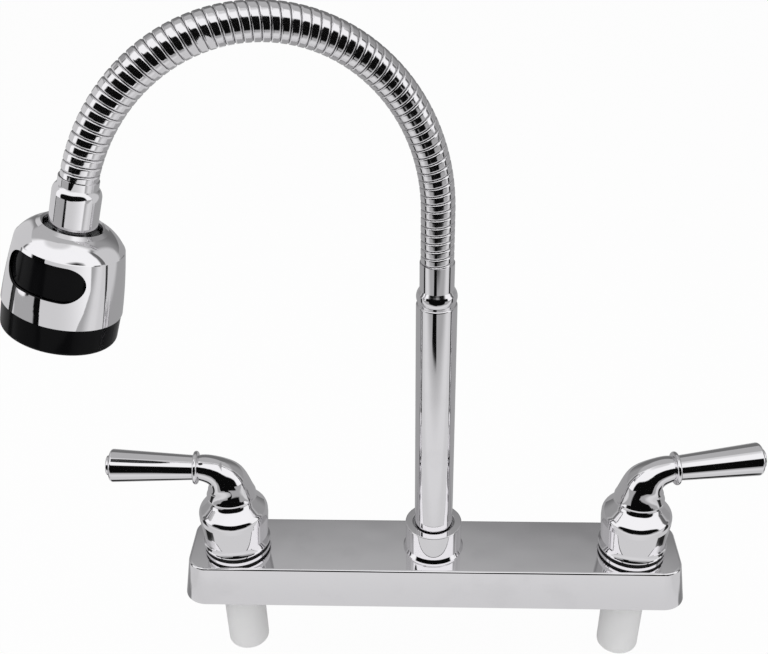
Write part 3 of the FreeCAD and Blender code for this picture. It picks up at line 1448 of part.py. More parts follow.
def check(pieces):
    """Every feature must be up to date and every piece one sound solid."""
    for thing in doc.Objects:
        if "Invalid" in thing.State or "Error" in thing.State:
            raise RuntimeError("%s is %s" % (thing.Name, thing.State))
    for piece in pieces:
        shape = piece.Shape
        if shape.isNull() or not shape.isValid() or len(shape.Solids) != 1:
            raise RuntimeError("%s is not one sound solid" % piece.Label)


PIECES = [make_deck_cover()]
PIECES += make_spout()
PIECES += make_side("hot", "-1", "0", "hot_turn")
PIECES += make_side("cold", "1", "180", "cold_turn")
PIECES += make_gooseneck()
PIECES += make_head()
doc.recompute()
check(PIECES)

os.makedirs("parts", exist_ok=True)
for piece in PIECES:
    piece.Shape.exportStep(os.path.join("parts", piece.Label + ".step"))
print("%d pieces, %d ribs of %.2f mm, hose %.1f mm" % (len(PIECES), size("rib_count"), RIB, HOSE_LENGTH))
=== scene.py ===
# %% [markdown]
# # A two handle kitchen faucet
# The faucet stands on a long chrome cover with a lever valve at each end. A straight riser in
# the middle carries a strip-wound hose that bends over to a round spray head with a black
# button. The solids come from the CAD model in metres, already in place, so this file gives them
# their finishes, makes the parts whose form is finer than a plain solid, and lights them.

import math

import bpy
import numpy as np
from mathutils import Matrix, Vector
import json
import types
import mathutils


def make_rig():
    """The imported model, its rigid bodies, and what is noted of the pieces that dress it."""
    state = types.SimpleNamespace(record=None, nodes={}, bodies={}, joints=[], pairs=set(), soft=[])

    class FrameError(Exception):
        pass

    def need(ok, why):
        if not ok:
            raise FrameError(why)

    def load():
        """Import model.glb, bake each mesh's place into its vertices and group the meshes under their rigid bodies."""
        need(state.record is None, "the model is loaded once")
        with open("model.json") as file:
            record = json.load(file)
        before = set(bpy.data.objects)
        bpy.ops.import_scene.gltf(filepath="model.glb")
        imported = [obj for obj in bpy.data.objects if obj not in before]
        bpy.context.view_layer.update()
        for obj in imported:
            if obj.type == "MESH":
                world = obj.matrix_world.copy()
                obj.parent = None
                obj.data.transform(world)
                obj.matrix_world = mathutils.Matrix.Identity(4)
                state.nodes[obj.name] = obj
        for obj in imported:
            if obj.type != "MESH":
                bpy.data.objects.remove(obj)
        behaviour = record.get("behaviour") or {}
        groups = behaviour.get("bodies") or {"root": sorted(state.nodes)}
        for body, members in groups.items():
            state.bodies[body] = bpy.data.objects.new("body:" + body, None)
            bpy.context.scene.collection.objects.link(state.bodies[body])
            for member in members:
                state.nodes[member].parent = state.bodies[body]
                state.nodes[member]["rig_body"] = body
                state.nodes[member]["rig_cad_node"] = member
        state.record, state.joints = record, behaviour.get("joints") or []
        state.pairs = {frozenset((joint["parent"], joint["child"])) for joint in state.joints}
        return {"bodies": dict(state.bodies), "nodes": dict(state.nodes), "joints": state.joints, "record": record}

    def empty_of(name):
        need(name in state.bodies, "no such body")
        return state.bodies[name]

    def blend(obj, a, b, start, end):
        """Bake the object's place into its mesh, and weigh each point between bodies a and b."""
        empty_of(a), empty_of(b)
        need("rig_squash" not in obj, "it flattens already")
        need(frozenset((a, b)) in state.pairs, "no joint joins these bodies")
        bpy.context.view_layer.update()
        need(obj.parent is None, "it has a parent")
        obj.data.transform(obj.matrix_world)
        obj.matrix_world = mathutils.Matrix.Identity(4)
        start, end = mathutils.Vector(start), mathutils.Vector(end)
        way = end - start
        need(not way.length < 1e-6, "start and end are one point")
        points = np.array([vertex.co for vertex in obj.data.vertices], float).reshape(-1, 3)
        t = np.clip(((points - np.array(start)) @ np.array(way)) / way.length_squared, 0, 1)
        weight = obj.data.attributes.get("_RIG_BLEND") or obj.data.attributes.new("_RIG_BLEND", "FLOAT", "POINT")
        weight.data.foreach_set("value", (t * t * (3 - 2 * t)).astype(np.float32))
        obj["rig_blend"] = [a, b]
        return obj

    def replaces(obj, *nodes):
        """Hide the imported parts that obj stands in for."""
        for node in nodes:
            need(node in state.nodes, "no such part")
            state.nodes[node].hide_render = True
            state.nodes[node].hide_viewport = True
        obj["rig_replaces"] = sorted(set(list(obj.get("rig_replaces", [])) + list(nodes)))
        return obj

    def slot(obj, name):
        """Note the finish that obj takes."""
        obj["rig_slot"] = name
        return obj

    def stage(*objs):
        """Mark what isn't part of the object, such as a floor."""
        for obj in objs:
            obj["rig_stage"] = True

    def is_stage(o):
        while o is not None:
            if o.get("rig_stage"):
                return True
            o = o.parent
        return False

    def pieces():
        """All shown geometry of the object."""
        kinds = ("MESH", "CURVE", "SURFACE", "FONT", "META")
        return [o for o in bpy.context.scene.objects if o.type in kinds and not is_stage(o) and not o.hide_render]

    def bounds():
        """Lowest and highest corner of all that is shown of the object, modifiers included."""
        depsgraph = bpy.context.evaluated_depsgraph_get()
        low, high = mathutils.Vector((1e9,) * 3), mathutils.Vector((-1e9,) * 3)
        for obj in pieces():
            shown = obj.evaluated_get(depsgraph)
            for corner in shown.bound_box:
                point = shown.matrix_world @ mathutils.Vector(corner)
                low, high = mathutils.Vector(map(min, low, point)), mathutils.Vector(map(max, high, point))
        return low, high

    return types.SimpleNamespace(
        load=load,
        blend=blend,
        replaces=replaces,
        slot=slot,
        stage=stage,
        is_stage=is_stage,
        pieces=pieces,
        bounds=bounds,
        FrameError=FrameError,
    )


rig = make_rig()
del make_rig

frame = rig.load()
solids_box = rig.bounds()
MM = 0.001
scene = bpy.context.scene
print(len(frame["nodes"]), "solids on", len(frame["bodies"]), "bodies")

# %% [markdown]
# ## The camera
# The view is from about 0.56 m away, a little left of the middle and 36 degrees above the level,
# so the top of the cover shows and the verticals lean in slightly. A camera can be aimed at a
# target or built from its own directions. Three angles say this view exactly, so its three
# directions are worked out and become its matrix. The shift puts the optical middle lower in
# the frame, which is 768 wide and 654 high.

# %% Camera
IMAGE_WIDTH, IMAGE_HEIGHT = 768, 654
FOCAL_PIXELS, MIDDLE_ROW = 1048.5, 430.0
SENSOR_WIDTH = 36.0
YAW, PITCH, ROLL = (math.radians(angle) for angle in (2.658, 35.584, -1.142))
CAMERA_SPOT = np.array([-5.375, -406.783, 386.974]) * MM


def camera_axes(yaw, pitch, roll):
    """Right, up and backward directions: forward is turned by yaw from +Y and tipped down by
    pitch, and the other two are then rolled round it."""
    forward = np.array([-math.sin(yaw) * math.cos(pitch), math.cos(yaw) * math.cos(pitch),
                        -math.sin(pitch)])
    level = np.array([math.cos(yaw), math.sin(yaw), 0.0])
    upright = np.cross(level, forward)
    right = math.cos(roll) * level + math.sin(roll) * upright
    return right, np.cross(right, forward), -forward


lens = bpy.data.cameras.new("camera")
lens.sensor_width = SENSOR_WIDTH
lens.sensor_fit = "HORIZONTAL"
lens.lens = FOCAL_PIXELS / IMAGE_WIDTH * SENSOR_WIDTH
lens.shift_y = (MIDDLE_ROW - IMAGE_HEIGHT / 2) / IMAGE_WIDTH
lens.clip_start, lens.clip_end = 0.01, 20.0
camera = bpy.data.objects.new("camera", lens)
scene.collection.objects.link(camera)
pose = np.eye(4)
pose[:3, :3] = np.array(camera_axes(YAW, PITCH, ROLL)).T
pose[:3, 3] = CAMERA_SPOT
camera.matrix_world = Matrix(pose.tolist())
scene.camera = camera
print("lens %.1f mm, shift %.3f" % (lens.lens, lens.shift_y))

# %% [markdown]
# ## Shader sums as Python
# A material is a graph of nodes. Written as nodes and links it is long and hard to read, so a
# small class stands for one output of a node. Adding or multiplying two of them adds the Math
# node that does it, and one method makes any other node from its type, settings and inputs.

# %% A socket that can be added and multiplied
class Signal:
    """One output socket in a node tree. Sums with it become Math nodes."""

    def __init__(self, tree, socket=None):
        self.tree, self.socket = tree, socket

    def node(self, kind, settings=None, inputs=None, output=0):
        """Makes a node of that kind, sets its settings, then its inputs, and returns an
        output. A ramp's stops are given as (place, colour) pairs under "stops"."""
        made = self.tree.nodes.new(kind)
        for name, value in (settings or {}).items():
            if name == "stops":
                ramp = made.color_ramp
                while len(ramp.elements) < len(value):
                    ramp.elements.new(0.5)
                for element, (place, colour) in zip(ramp.elements, value):
                    element.position = place
                    element.color = tuple(colour) + (1.0,) * (4 - len(colour))
            else:
                setattr(made, name, value)
        for name, value in (inputs or {}).items():
            if isinstance(value, Signal):
                self.tree.links.new(value.socket, made.inputs[name])
            else:
                made.inputs[name].default_value = value
        return Signal(self.tree, made.outputs[output])

    def math(self, operation, first, second=0.0, third=0.0, clamp=False):
        return self.node("ShaderNodeMath", {"operation": operation, "use_clamp": clamp},
                         {0: first, 1: second, 2: third})

    def __add__(self, other):
        return self.math("ADD", self, other)

    def __sub__(self, other):
        return self.math("SUBTRACT", self, other)

    def __rsub__(self, other):
        return self.math("SUBTRACT", other, self)

    def __mul__(self, other):
        return self.math("MULTIPLY", self, other)

    __radd__, __rmul__ = __add__, __mul__

    def step(self, low, high):
        """0 below low, 1 above high and a smooth rise between them."""
        return self.node("ShaderNodeMapRange", {"interpolation_type": "SMOOTHSTEP"},
                         {"Value": self, "From Min": low, "From Max": high})

    def band(self, low, high, soft):
        """1 between low and high, 0 outside them, with soft edges."""
        return self.step(low - soft, low + soft) * (1.0 - self.step(high - soft, high + soft))


def blend_colours(amount, first, second):
    """The first colour where amount is 0 and the second where it is 1."""
    return amount.node("ShaderNodeMix", {"data_type": "RGBA"},
                       {0: amount, 6: first, 7: second}, output=2)


print("a signal knows", sorted(name for name in vars(Signal) if not name.startswith("_")))

# %% [markdown]
# ## The studio
# Polished metal has next to no look of its own: it shows the room. Product shots of chrome are
# taken in a white tent with dark gaps, so that every round form gets a black line that draws its
# shape. The far part of the room is a world shader that reflections alone see: a black gap in
# front, a white roof above, a grey wall behind and a dark seam at each side. A world is as far
# off as the sky, so it shows the same on every piece. What lies close by comes further down as
# glowing cards. The camera sees plain white in every direction.

# %% The room that reflections see
world = bpy.data.worlds.new("studio")
scene.world = world
world.use_nodes = True
world.node_tree.nodes.clear()
room = Signal(world.node_tree)

BLACK, ROOF, SIDE_WALL, BACK_WALL, HIGH_WALL = 0.003, 1.0, 0.32, 0.17, 0.46
TENT = 0.62
VENT_DIM, SEAM_DIM, COOL = 0.3, 0.85, 1.01
HEIGHT_WOBBLE, TURN_WOBBLE = 0.05, 0.10
# Where each part of the room starts and ends: heights from -1 to 1, turns in radians.
VENT_HEIGHTS, HIGH_WALL_HEIGHTS, SEAM_TOP_HEIGHTS = (0.93, 0.985), (0.61, 0.71), (0.62, 0.74)
ROOF_TURNS, WALL_TURNS, SEAM_TURNS = (1.62, 1.95), (2.3, 2.8), (1.56, 1.80, 0.04)
GAP_MIDDLE, GAP_HALF_HEIGHT, GAP_HALF_WIDTH = 0.04, 0.59, 1.10
GAP_POWER, GAP_EDGE = 4.0, (0.75, 1.15)

# A reflection's height and its turn from the front, both a little uneven.
ray = room.node("ShaderNodeTexCoord", output=0)
wobble = room.node("ShaderNodeTexNoise", {"noise_dimensions": "3D"},
                   {"Vector": ray, "Scale": 2.2, "Detail": 1.0}) - 0.5
east, north, up = (room.node("ShaderNodeSeparateXYZ", inputs={0: ray}, output=axis)
                   for axis in range(3))
height = up + wobble * HEIGHT_WOBBLE
round_about = room.math("ARCTAN2", east, 0.0 - north) + wobble * TURN_WOBBLE
aside = room.math("ABSOLUTE", round_about)

# The roof with a dimmer vent at its top, and the wall behind, which is lighter high up.
roof = ROOF * (1.0 - height.step(*VENT_HEIGHTS) * VENT_DIM)
wall_behind = SIDE_WALL + aside.step(*WALL_TURNS) * (BACK_WALL - SIDE_WALL)
wall_behind = wall_behind + height.step(*HIGH_WALL_HEIGHTS) * (HIGH_WALL - wall_behind)
shade = roof + aside.step(*ROOF_TURNS) * (wall_behind - roof)

# A dark seam at each side, and the black gap in front, whose outline is a squared-off oval.
seam = aside.band(*SEAM_TURNS) * (1.0 - height.step(*SEAM_TOP_HEIGHTS))
shade = shade * (1.0 - seam * SEAM_DIM)
across, rise = aside * (1.0 / GAP_HALF_WIDTH), (height - GAP_MIDDLE) * (1.0 / GAP_HALF_HEIGHT)
gap = 1.0 - (room.math("POWER", across, GAP_POWER)
             + room.math("POWER", room.math("ABSOLUTE", rise), GAP_POWER)).step(*GAP_EDGE)
shade = shade + gap * (BLACK - shade)
mirror_room = room.node("ShaderNodeCombineColor", inputs={0: shade, 1: shade, 2: shade * COOL})

path = room.tree.nodes.new("ShaderNodeLightPath")
seen = {name: Signal(world.node_tree, path.outputs[name])
        for name in ("Is Camera Ray", "Is Glossy Ray", "Is Transmission Ray")}
lit = blend_colours(seen["Is Glossy Ray"], (TENT, TENT, TENT, 1.0), mirror_room)
white = (1.0, 1.0, 1.0, 1.0)
plain_white = room.math("MAXIMUM", seen["Is Camera Ray"], seen["Is Transmission Ray"])
lit = blend_colours(plain_white, lit, white)
background = room.node("ShaderNodeBackground", inputs={"Color": lit, "Strength": 1.0})
way_out = world.node_tree.nodes.new("ShaderNodeOutputWorld")
world.node_tree.links.new(background.socket, way_out.inputs["Surface"])
print("world with", len(world.node_tree.nodes), "nodes")

# %% [markdown]
# ## Floor, cards and lamps
# The pale floor lies far enough below the shank caps for them to be pulled off. The camera sees
# it as white, less the soft shadow that falls on it. Two large lamps above give the matt parts
# their shading. Reflections leave out the floor and the lamps. They see cards in their place,
# because a card can be bright or black just where a piece needs it. One card is the floor, and
# it lies just under the caps: pale under the cover, greyer further out and black where the tent
# opens. The photo's riser changes from light to dark on its way up, and only a floor close by
# does that. The other three light the spray head, and they fade out with distance, so that
# nothing else shows them.

# %% The floor that the camera sees
FLOOR_LEVEL, CARD_LEVEL = -100.0 * MM, -47.2 * MM
FLOOR_REACH = 4.0
FLOOR_GLOW = 0.95


def floor_corners(level):
    """The corners of a level square of the floor's size, seen from above in turn."""
    return [(x * FLOOR_REACH, y * FLOOR_REACH, level)
            for x, y in ((-1, -1), (1, -1), (1, 1), (-1, 1))]


floor_mesh = bpy.data.meshes.new("floor")
floor_mesh.from_pydata(floor_corners(FLOOR_LEVEL), [], [(0, 1, 2, 3)])
floor = bpy.data.objects.new("floor", floor_mesh)
scene.collection.objects.link(floor)
floor.visible_glossy = False
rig.stage(floor)

paper = bpy.data.materials.new("pale_floor")
paper.use_nodes = True
paper.node_tree.nodes.clear()
sheet = Signal(paper.node_tree)
matt = sheet.node("ShaderNodeBsdfDiffuse", inputs={"Color": (0.9, 0.9, 0.9, 1.0)})
glow = sheet.node("ShaderNodeEmission", inputs={"Color": white, "Strength": 1.0})
camera_share = sheet.node("ShaderNodeLightPath", output="Is Camera Ray") * FLOOR_GLOW
floor_shader = sheet.node("ShaderNodeMixShader", inputs={0: camera_share, 1: matt, 2: glow})
way_out = paper.node_tree.nodes.new("ShaderNodeOutputMaterial")
paper.node_tree.links.new(floor_shader.socket, way_out.inputs["Surface"])
floor_mesh.materials.append(paper)
print("floor at %.1f mm" % (FLOOR_LEVEL / MM))


# %% Cards that only reflections see
FADE_FROM = 0.85


def glowing_card(name, corners, brightness, reach=None):
    """A flat card that reflections alone see, from no further off than its reach.
    brightness(x, y, z, way) gives its light from the signals of its own place and of the
    distance that the reflection has come, all in metres."""
    mesh = bpy.data.meshes.new(name)
    mesh.from_pydata(corners, [], [(0, 1, 2, 3)])
    card = bpy.data.objects.new(name, mesh)
    scene.collection.objects.link(card)
    card.visible_camera = card.visible_diffuse = card.visible_shadow = False
    card.visible_transmission = card.visible_volume_scatter = False
    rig.stage(card)
    material = bpy.data.materials.new(name)
    material.use_nodes = True
    material.node_tree.nodes.clear()
    signal = Signal(material.node_tree)
    spot = signal.node("ShaderNodeTexCoord", output="Object")
    x, y, z = (signal.node("ShaderNodeSeparateXYZ", inputs={0: spot}, output=k) for k in range(3))
    way = signal.node("ShaderNodeLightPath", output="Ray Length")
    grey = brightness(x, y, z, way)
    tint = signal.node("ShaderNodeCombineColor", inputs={0: grey, 1: grey, 2: grey * COOL})
    light = signal.node("ShaderNodeEmission", inputs={"Color": tint, "Strength": 1.0})
    if reach:
        clear = signal.node("ShaderNodeBsdfTransparent")
        light = signal.node("ShaderNodeMixShader",
                            inputs={0: way.step(reach * FADE_FROM, reach), 1: light, 2: clear})
    way_out = material.node_tree.nodes.new("ShaderNodeOutputMaterial")
    material.node_tree.links.new(light.socket, way_out.inputs["Surface"])
    mesh.materials.append(material)
    return card


print("a card with a reach fades out from %.0f%% of it" % (FADE_FROM * 100))

# %% What each card shows
PALE, PALER, FURTHER_OUT, BESIDE_ENDS, FAR, FAR_RISE = 0.66, 0.07, 0.40, 0.62, 0.22, 0.14
HEAD_LEFT, HEAD_RISE, SIDE_RISE = 0.66, 0.30, 0.30
# Where each part of the floor starts and ends, in metres out to the front, across and back.
PALER_OUT, GREY_OUT, OPENING_OUT, SLIT_OUT = (0.09, 0.15), (0.19, 0.34), (0.40, 0.50), (0.295, 0.320)
SLIT_ACROSS, SLIT_SLANT, OPENING_SIDE = (-0.070, 0.075, 0.008), 0.20, (-0.12, 0.0)
BEHIND, FURTHER_BACK = (-0.020, -0.006), (0.010, 0.060)
ENDS_ACROSS, ENDS_WAY = (0.200, 0.215), (0.160, 0.180)
WEDGE_HALF, WEDGE_SLOPE, WEDGE_DIM = 0.012, 0.09, 0.93
WEDGE_EDGE, WEDGE_WAY = (-0.004, 0.004), (0.105, 0.120)
HEAD_ACROSS, SIDE_HEIGHTS = (-0.150, -0.070), (0.125, 0.160)


def floor_brightness(x, y, z, way):
    """Bright in front of the faucet, greyer from 0.2 m out and black past 0.45 m, where the tent
    is open. A dark slit lies a little to the left at 0.3 m. A black wedge that opens to both
    sides lies under the faucet, and beside the ends of the cover the floor is lighter."""
    out = 0.0 - y
    sideways = x.math("ABSOLUTE", x)
    grey = PALE + out.step(*PALER_OUT) * PALER
    grey = grey + out.step(*GREY_OUT) * (FURTHER_OUT - grey)
    opening = out.step(*OPENING_OUT) * (1.0 - (sideways - out).step(*OPENING_SIDE))
    slit = out.step(*SLIT_OUT) * (x + out * SLIT_SLANT).band(*SLIT_ACROSS)
    grey = grey + opening.math("MAXIMUM", opening, slit) * (BLACK - grey)
    far = y.step(*FURTHER_BACK) * FAR_RISE + FAR
    grey = grey + y.step(*BEHIND) * (far - grey)
    past_wedge = y.math("ABSOLUTE", y) - (sideways * WEDGE_SLOPE + WEDGE_HALF)
    beside_ends = sideways.step(*ENDS_ACROSS) * (1.0 - way.step(*ENDS_WAY))
    grey = grey + beside_ends * (BESIDE_ENDS - grey)
    wedge = (1.0 - past_wedge.step(*WEDGE_EDGE)) * way.step(*WEDGE_WAY) * (1.0 - beside_ends)
    return grey * (1.0 - wedge * WEDGE_DIM)


def head_brightness(x, y, z, way):
    """Brighter towards the right."""
    return HEAD_LEFT + x.step(*HEAD_ACROSS) * HEAD_RISE


def side_brightness(x, y, z, way):
    """As bright as the wall behind at its foot and lighter higher up, beside the spray head."""
    return SIDE_WALL + z.step(*SIDE_HEIGHTS) * SIDE_RISE


glowing_card("floor_card", floor_corners(CARD_LEVEL), floor_brightness)
LEFT, RIGHT, IN_FRONT, LOW, HIGH, HEAD_REACH = -0.175, -0.055, -0.105, 0.155, 0.222, 0.110
glowing_card("head_card", [(LEFT, IN_FRONT, LOW), (RIGHT, IN_FRONT, LOW),
                           (RIGHT, IN_FRONT, HIGH), (LEFT, IN_FRONT, HIGH)],
             head_brightness, HEAD_REACH)
FRONT, FOOT = -0.045, 0.125
for name, across, back, top, reach in (("left_card", -0.270, 0.180, 0.360, 0.240),
                                       ("right_card", -0.080, 0.045, 0.284, 0.070)):
    glowing_card(name, [(across, FRONT, FOOT), (across, back, FOOT),
                        (across, back, top), (across, FRONT, top)], side_brightness, reach)
print("cards:", [card.name for card in scene.objects if card.name.endswith("_card")])


# %% Two soft lamps
LAMP_AIM = (0, 0, 0.1)


def soft_lamp(name, spot, size, watts):
    """A square lamp at a spot, facing the middle of the riser. Reflections leave it out."""
    light = bpy.data.lights.new(name, "AREA")
    light.size, light.energy = size, watts
    lamp = bpy.data.objects.new(name, light)
    lamp.location = spot
    away = Vector(spot) - Vector(LAMP_AIM)
    lamp.rotation_euler = away.to_track_quat("Z", "Y").to_euler()
    lamp.visible_glossy = False
    scene.collection.objects.link(lamp)
    return lamp


soft_lamp("roof_lamp", (-0.5, -0.5, 1.2), size=1.0, watts=5.0)
soft_lamp("right_lamp", (0.9, -0.3, 0.6), size=0.7, watts=1.2)
scene.view_settings.view_transform = "Standard"
print("lamps:", [lamp.name for lamp in scene.objects if lamp.type == "LIGHT"])

# %% [markdown]
# ## Finishes
# Each finish is a Principled shader with a little unevenness of its own. A single colour looks
# like paint from a tin: real chrome has a faint ripple from polishing and a few dull smears,
# moulded plastic has a fine grain, and cast brass is rough. All patterns read object coordinates
# in metres, so a noise scale of 400 gives marks about 2.5 mm apart.

# %% A finish from its numbers
def finish(name, build, **constants):
    """A material with one Principled shader. build(signal, place) returns what varies over the
    surface as {socket: signal}; constants are plain values for the shader's own sockets, with
    _ for a space."""
    material = bpy.data.materials.new(name)
    material.use_nodes = True
    tree = material.node_tree
    tree.nodes.clear()
    shader = tree.nodes.new("ShaderNodeBsdfPrincipled")
    for socket, value in constants.items():
        shader.inputs[socket.replace("_", " ")].default_value = value
    signal = Signal(tree)
    place = signal.node("ShaderNodeTexCoord", output="Object")
    for socket, value in build(signal, place).items():
        tree.links.new(value.socket, shader.inputs[socket])
    way_out = tree.nodes.new("ShaderNodeOutputMaterial")
    tree.links.new(shader.outputs[0], way_out.inputs["Surface"])
    return material


def speckle(signal, place, scale, detail=2.0, roughness=0.5):
    """Soft noise between about 0.2 and 0.8 with marks 1/scale metres apart."""
    return signal.node("ShaderNodeTexNoise", {"noise_dimensions": "3D"},
                       {"Vector": place, "Scale": scale, "Detail": detail,
                        "Roughness": roughness})


def relief(signal, heights, depth, strength=1.0):
    """A bump whose full range of heights is depth metres."""
    return signal.node("ShaderNodeBump", inputs={"Height": heights, "Distance": depth,
                                                 "Strength": strength})


print("helpers:", finish.__name__, speckle.__name__, relief.__name__)

# %% [markdown]
# ## Bright chrome
# The castings and the riser are polished and then plated. A mirror of one even colour would look
# too perfect, so the plate gets what a polished casting has: a slow ripple that bends the
# reflections a little, patches that are a shade duller, and fine polishing marks.

# %% Bright chrome
def chrome_surface(signal, place):
    """Ripple 14 mm apart, dull smears 25 mm apart and fine polishing marks."""
    smear = speckle(signal, place, 40.0, 4.0).step(0.52, 0.72)
    marks = speckle(signal, place, 900.0, 2.0)
    ripple = speckle(signal, place, 70.0, 0.0)
    tint = blend_colours(smear, (0.885, 0.875, 0.89, 1.0), (0.85, 0.84, 0.855, 1.0))
    return {"Base Color": tint, "Roughness": 0.03 + smear * 0.05 + marks * 0.02,
            "Normal": relief(signal, ripple + marks * 0.01, 0.00012, 0.35)}


bright_chrome = finish("bright_chrome", chrome_surface, Metallic=1.0)
print(bright_chrome.name, "with", len(bright_chrome.node_tree.nodes), "nodes")

# %% [markdown]
# ## Chrome of the hose
# Light gets lost between the turns of the hose's strip, so the grooves look dark. The dark could
# come from shadow alone, but the groove in the mesh is shallow and would still mirror the room.
# So the mesh carries its own groove depth: the colour darkens with it as painted shade, and the gloss dulls.

# %% Chrome of the hose
def hose_chrome_and_painted_groove_shade(signal, place):
    """Chrome with painted shade in the grooves, where the strip's edges meet: its colour darkens
    there and its gloss dulls. The mesh says how deep each point lies in its groove."""
    groove = signal.node("ShaderNodeAttribute", {"attribute_name": "groove"}, output="Fac")
    smear = speckle(signal, place, 120.0, 3.0).step(0.50, 0.75)
    marks = speckle(signal, place, 1500.0, 2.0)
    # Painted shade: the colour goes almost black with groove depth, where light is lost between the turns.
    tint = blend_colours(groove.step(0.60, 1.0), (0.88, 0.87, 0.885, 1.0),
                         (0.10, 0.10, 0.105, 1.0))
    return {"Base Color": tint,
            "Roughness": 0.07 + smear * 0.06 + marks * 0.03 + groove * 0.3,
            "Normal": relief(signal, marks, 0.00002, 0.3)}


hose_chrome = finish("hose_chrome", hose_chrome_and_painted_groove_shade, Metallic=1.0)
print(hose_chrome.name, "with", len(hose_chrome.node_tree.nodes), "nodes")

# %% [markdown]
# ## Plastics, rubber and the soft tube
# The button and the ring of the spray face are moulded gloss black, the thread caps are soft
# milky plastic, the gaskets and seals are rubber, and nylon and a pale tube are inside. They
# differ only in colour, gloss and grain, so each is a few lines that set its noise.

# %% Plastics, rubber and the soft tube
def black_surface(signal, place):
    """Moulded gloss black with faint flow marks and dust-fine grain."""
    flow = speckle(signal, place, 60.0, 1.0)
    grain = speckle(signal, place, 2500.0, 2.0)
    tint = blend_colours(flow, (0.002, 0.002, 0.0023, 1.0), (0.005, 0.005, 0.0055, 1.0))
    return {"Base Color": tint, "Roughness": 0.10 + flow * 0.06 + grain * 0.03,
            "Normal": relief(signal, grain + flow * 3.0, 0.00003, 0.3)}


def rubber_surface(signal, place):
    """Matt black with a coarse skin and a paler bloom in patches."""
    grain = speckle(signal, place, 1800.0, 3.0)
    bloom = speckle(signal, place, 150.0, 2.0)
    tint = blend_colours(bloom, (0.004, 0.004, 0.0045, 1.0), (0.012, 0.012, 0.013, 1.0))
    return {"Base Color": tint, "Roughness": 0.45 + grain * 0.25,
            "Normal": relief(signal, grain, 0.00006, 0.6)}


def cap_surface(signal, place):
    """Milky soft plastic, a little uneven where it cooled."""
    cloud = speckle(signal, place, 90.0, 2.0)
    grain = speckle(signal, place, 1600.0, 2.0)
    tint = blend_colours(cloud, (0.86, 0.855, 0.86, 1.0), (0.92, 0.915, 0.92, 1.0))
    return {"Base Color": tint, "Roughness": 0.36 + grain * 0.14,
            "Normal": relief(signal, grain + cloud, 0.00005, 0.4)}


def nylon_surface(signal, place):
    """Grey moulding with a fine grain."""
    grain = speckle(signal, place, 1400.0, 3.0)
    cloud = speckle(signal, place, 120.0, 2.0)
    tint = blend_colours(cloud, (0.20, 0.205, 0.21, 1.0), (0.27, 0.275, 0.28, 1.0))
    return {"Base Color": tint, "Roughness": 0.42 + grain * 0.2,
            "Normal": relief(signal, grain, 0.00005, 0.5)}


def tube_surface(signal, place):
    """Cloudy pale tube, slightly uneven where it was drawn."""
    cloud = speckle(signal, place, 200.0, 2.0)
    tint = blend_colours(cloud, (0.62, 0.63, 0.60, 1.0), (0.72, 0.73, 0.70, 1.0))
    return {"Base Color": tint, "Roughness": 0.35 + cloud * 0.15,
            "Normal": relief(signal, cloud, 0.0001, 0.3)}


def spray_surface(signal, place):
    """Dark grey plastic of the spray plate, half matt."""
    grain = speckle(signal, place, 2000.0, 2.0)
    cloud = speckle(signal, place, 100.0, 2.0)
    tint = blend_colours(cloud, (0.030, 0.031, 0.033, 1.0), (0.050, 0.051, 0.054, 1.0))
    return {"Base Color": tint, "Roughness": 0.34 + grain * 0.2,
            "Normal": relief(signal, grain, 0.00004, 0.5)}


black_gloss = finish("black_gloss", black_surface, Specular_IOR_Level=0.07)
black_rubber = finish("black_rubber", rubber_surface, Specular_IOR_Level=0.15)
white_cap = finish("white_cap", cap_surface, Subsurface_Weight=0.15, Subsurface_Scale=0.002,
                   Subsurface_Radius=(1.0, 0.95, 0.95))
grey_nylon = finish("grey_nylon", nylon_surface)
soft_tube = finish("soft_tube", tube_surface)
spray_face = finish("spray_face", spray_surface)
print("plastics:", ", ".join(kind.name for kind in (black_gloss, black_rubber, white_cap,
                                                    grey_nylon, soft_tube, spray_face)))

# %% [markdown]
# ## Brass, ceramic and steel
# The valve bodies and their shanks are cast brass that nobody polishes, the valve discs are
# ceramic, and springs, rings and screws are steel. Brass shows once a thread cap is pulled off,
# so it gets its sandy skin and its tarnish.

# %% Brass, ceramic and steel
def brass_surface(signal, place):
    """Cast brass: a sandy skin with darker tarnish in patches."""
    sand = speckle(signal, place, 700.0, 4.0, 0.7)
    tarnish = speckle(signal, place, 90.0, 3.0).step(0.45, 0.75)
    tint = blend_colours(tarnish, (0.66, 0.47, 0.20, 1.0), (0.42, 0.28, 0.12, 1.0))
    return {"Base Color": tint, "Roughness": 0.30 + sand * 0.2 + tarnish * 0.15,
            "Normal": relief(signal, sand, 0.0002, 0.5)}


def ceramic_surface(signal, place):
    """Ivory ceramic, ground almost to a gloss."""
    grain = speckle(signal, place, 2600.0, 2.0)
    tint = blend_colours(grain, (0.78, 0.75, 0.70, 1.0), (0.84, 0.82, 0.78, 1.0))
    return {"Base Color": tint, "Roughness": 0.16 + grain * 0.12,
            "Normal": relief(signal, grain, 0.00001, 0.3)}


def steel_surface(signal, place):
    """Drawn steel: fine streaks that lie level, as the noise is squeezed in height."""
    streak = signal.node("ShaderNodeTexNoise", inputs={
        "Vector": signal.node("ShaderNodeMapping", inputs={
            "Vector": place, "Scale": (1.0, 1.0, 6.0)}), "Scale": 1200.0, "Detail": 2.0})
    tint = blend_colours(streak, (0.50, 0.50, 0.51, 1.0), (0.62, 0.62, 0.63, 1.0))
    return {"Base Color": tint, "Roughness": 0.22 + streak * 0.14,
            "Normal": relief(signal, streak, 0.00002, 0.4)}


cast_brass = finish("cast_brass", brass_surface, Metallic=1.0)
ceramic = finish("ceramic", ceramic_surface)
steel = finish("steel", steel_surface, Metallic=1.0)
print("metals and ceramic:", cast_brass.name, ceramic.name, steel.name)

# %% [markdown]
# ## Which solid is made of what
# The record names a material slot for every solid. A solid's mesh stays as it is and only gets
# the finish of that slot.

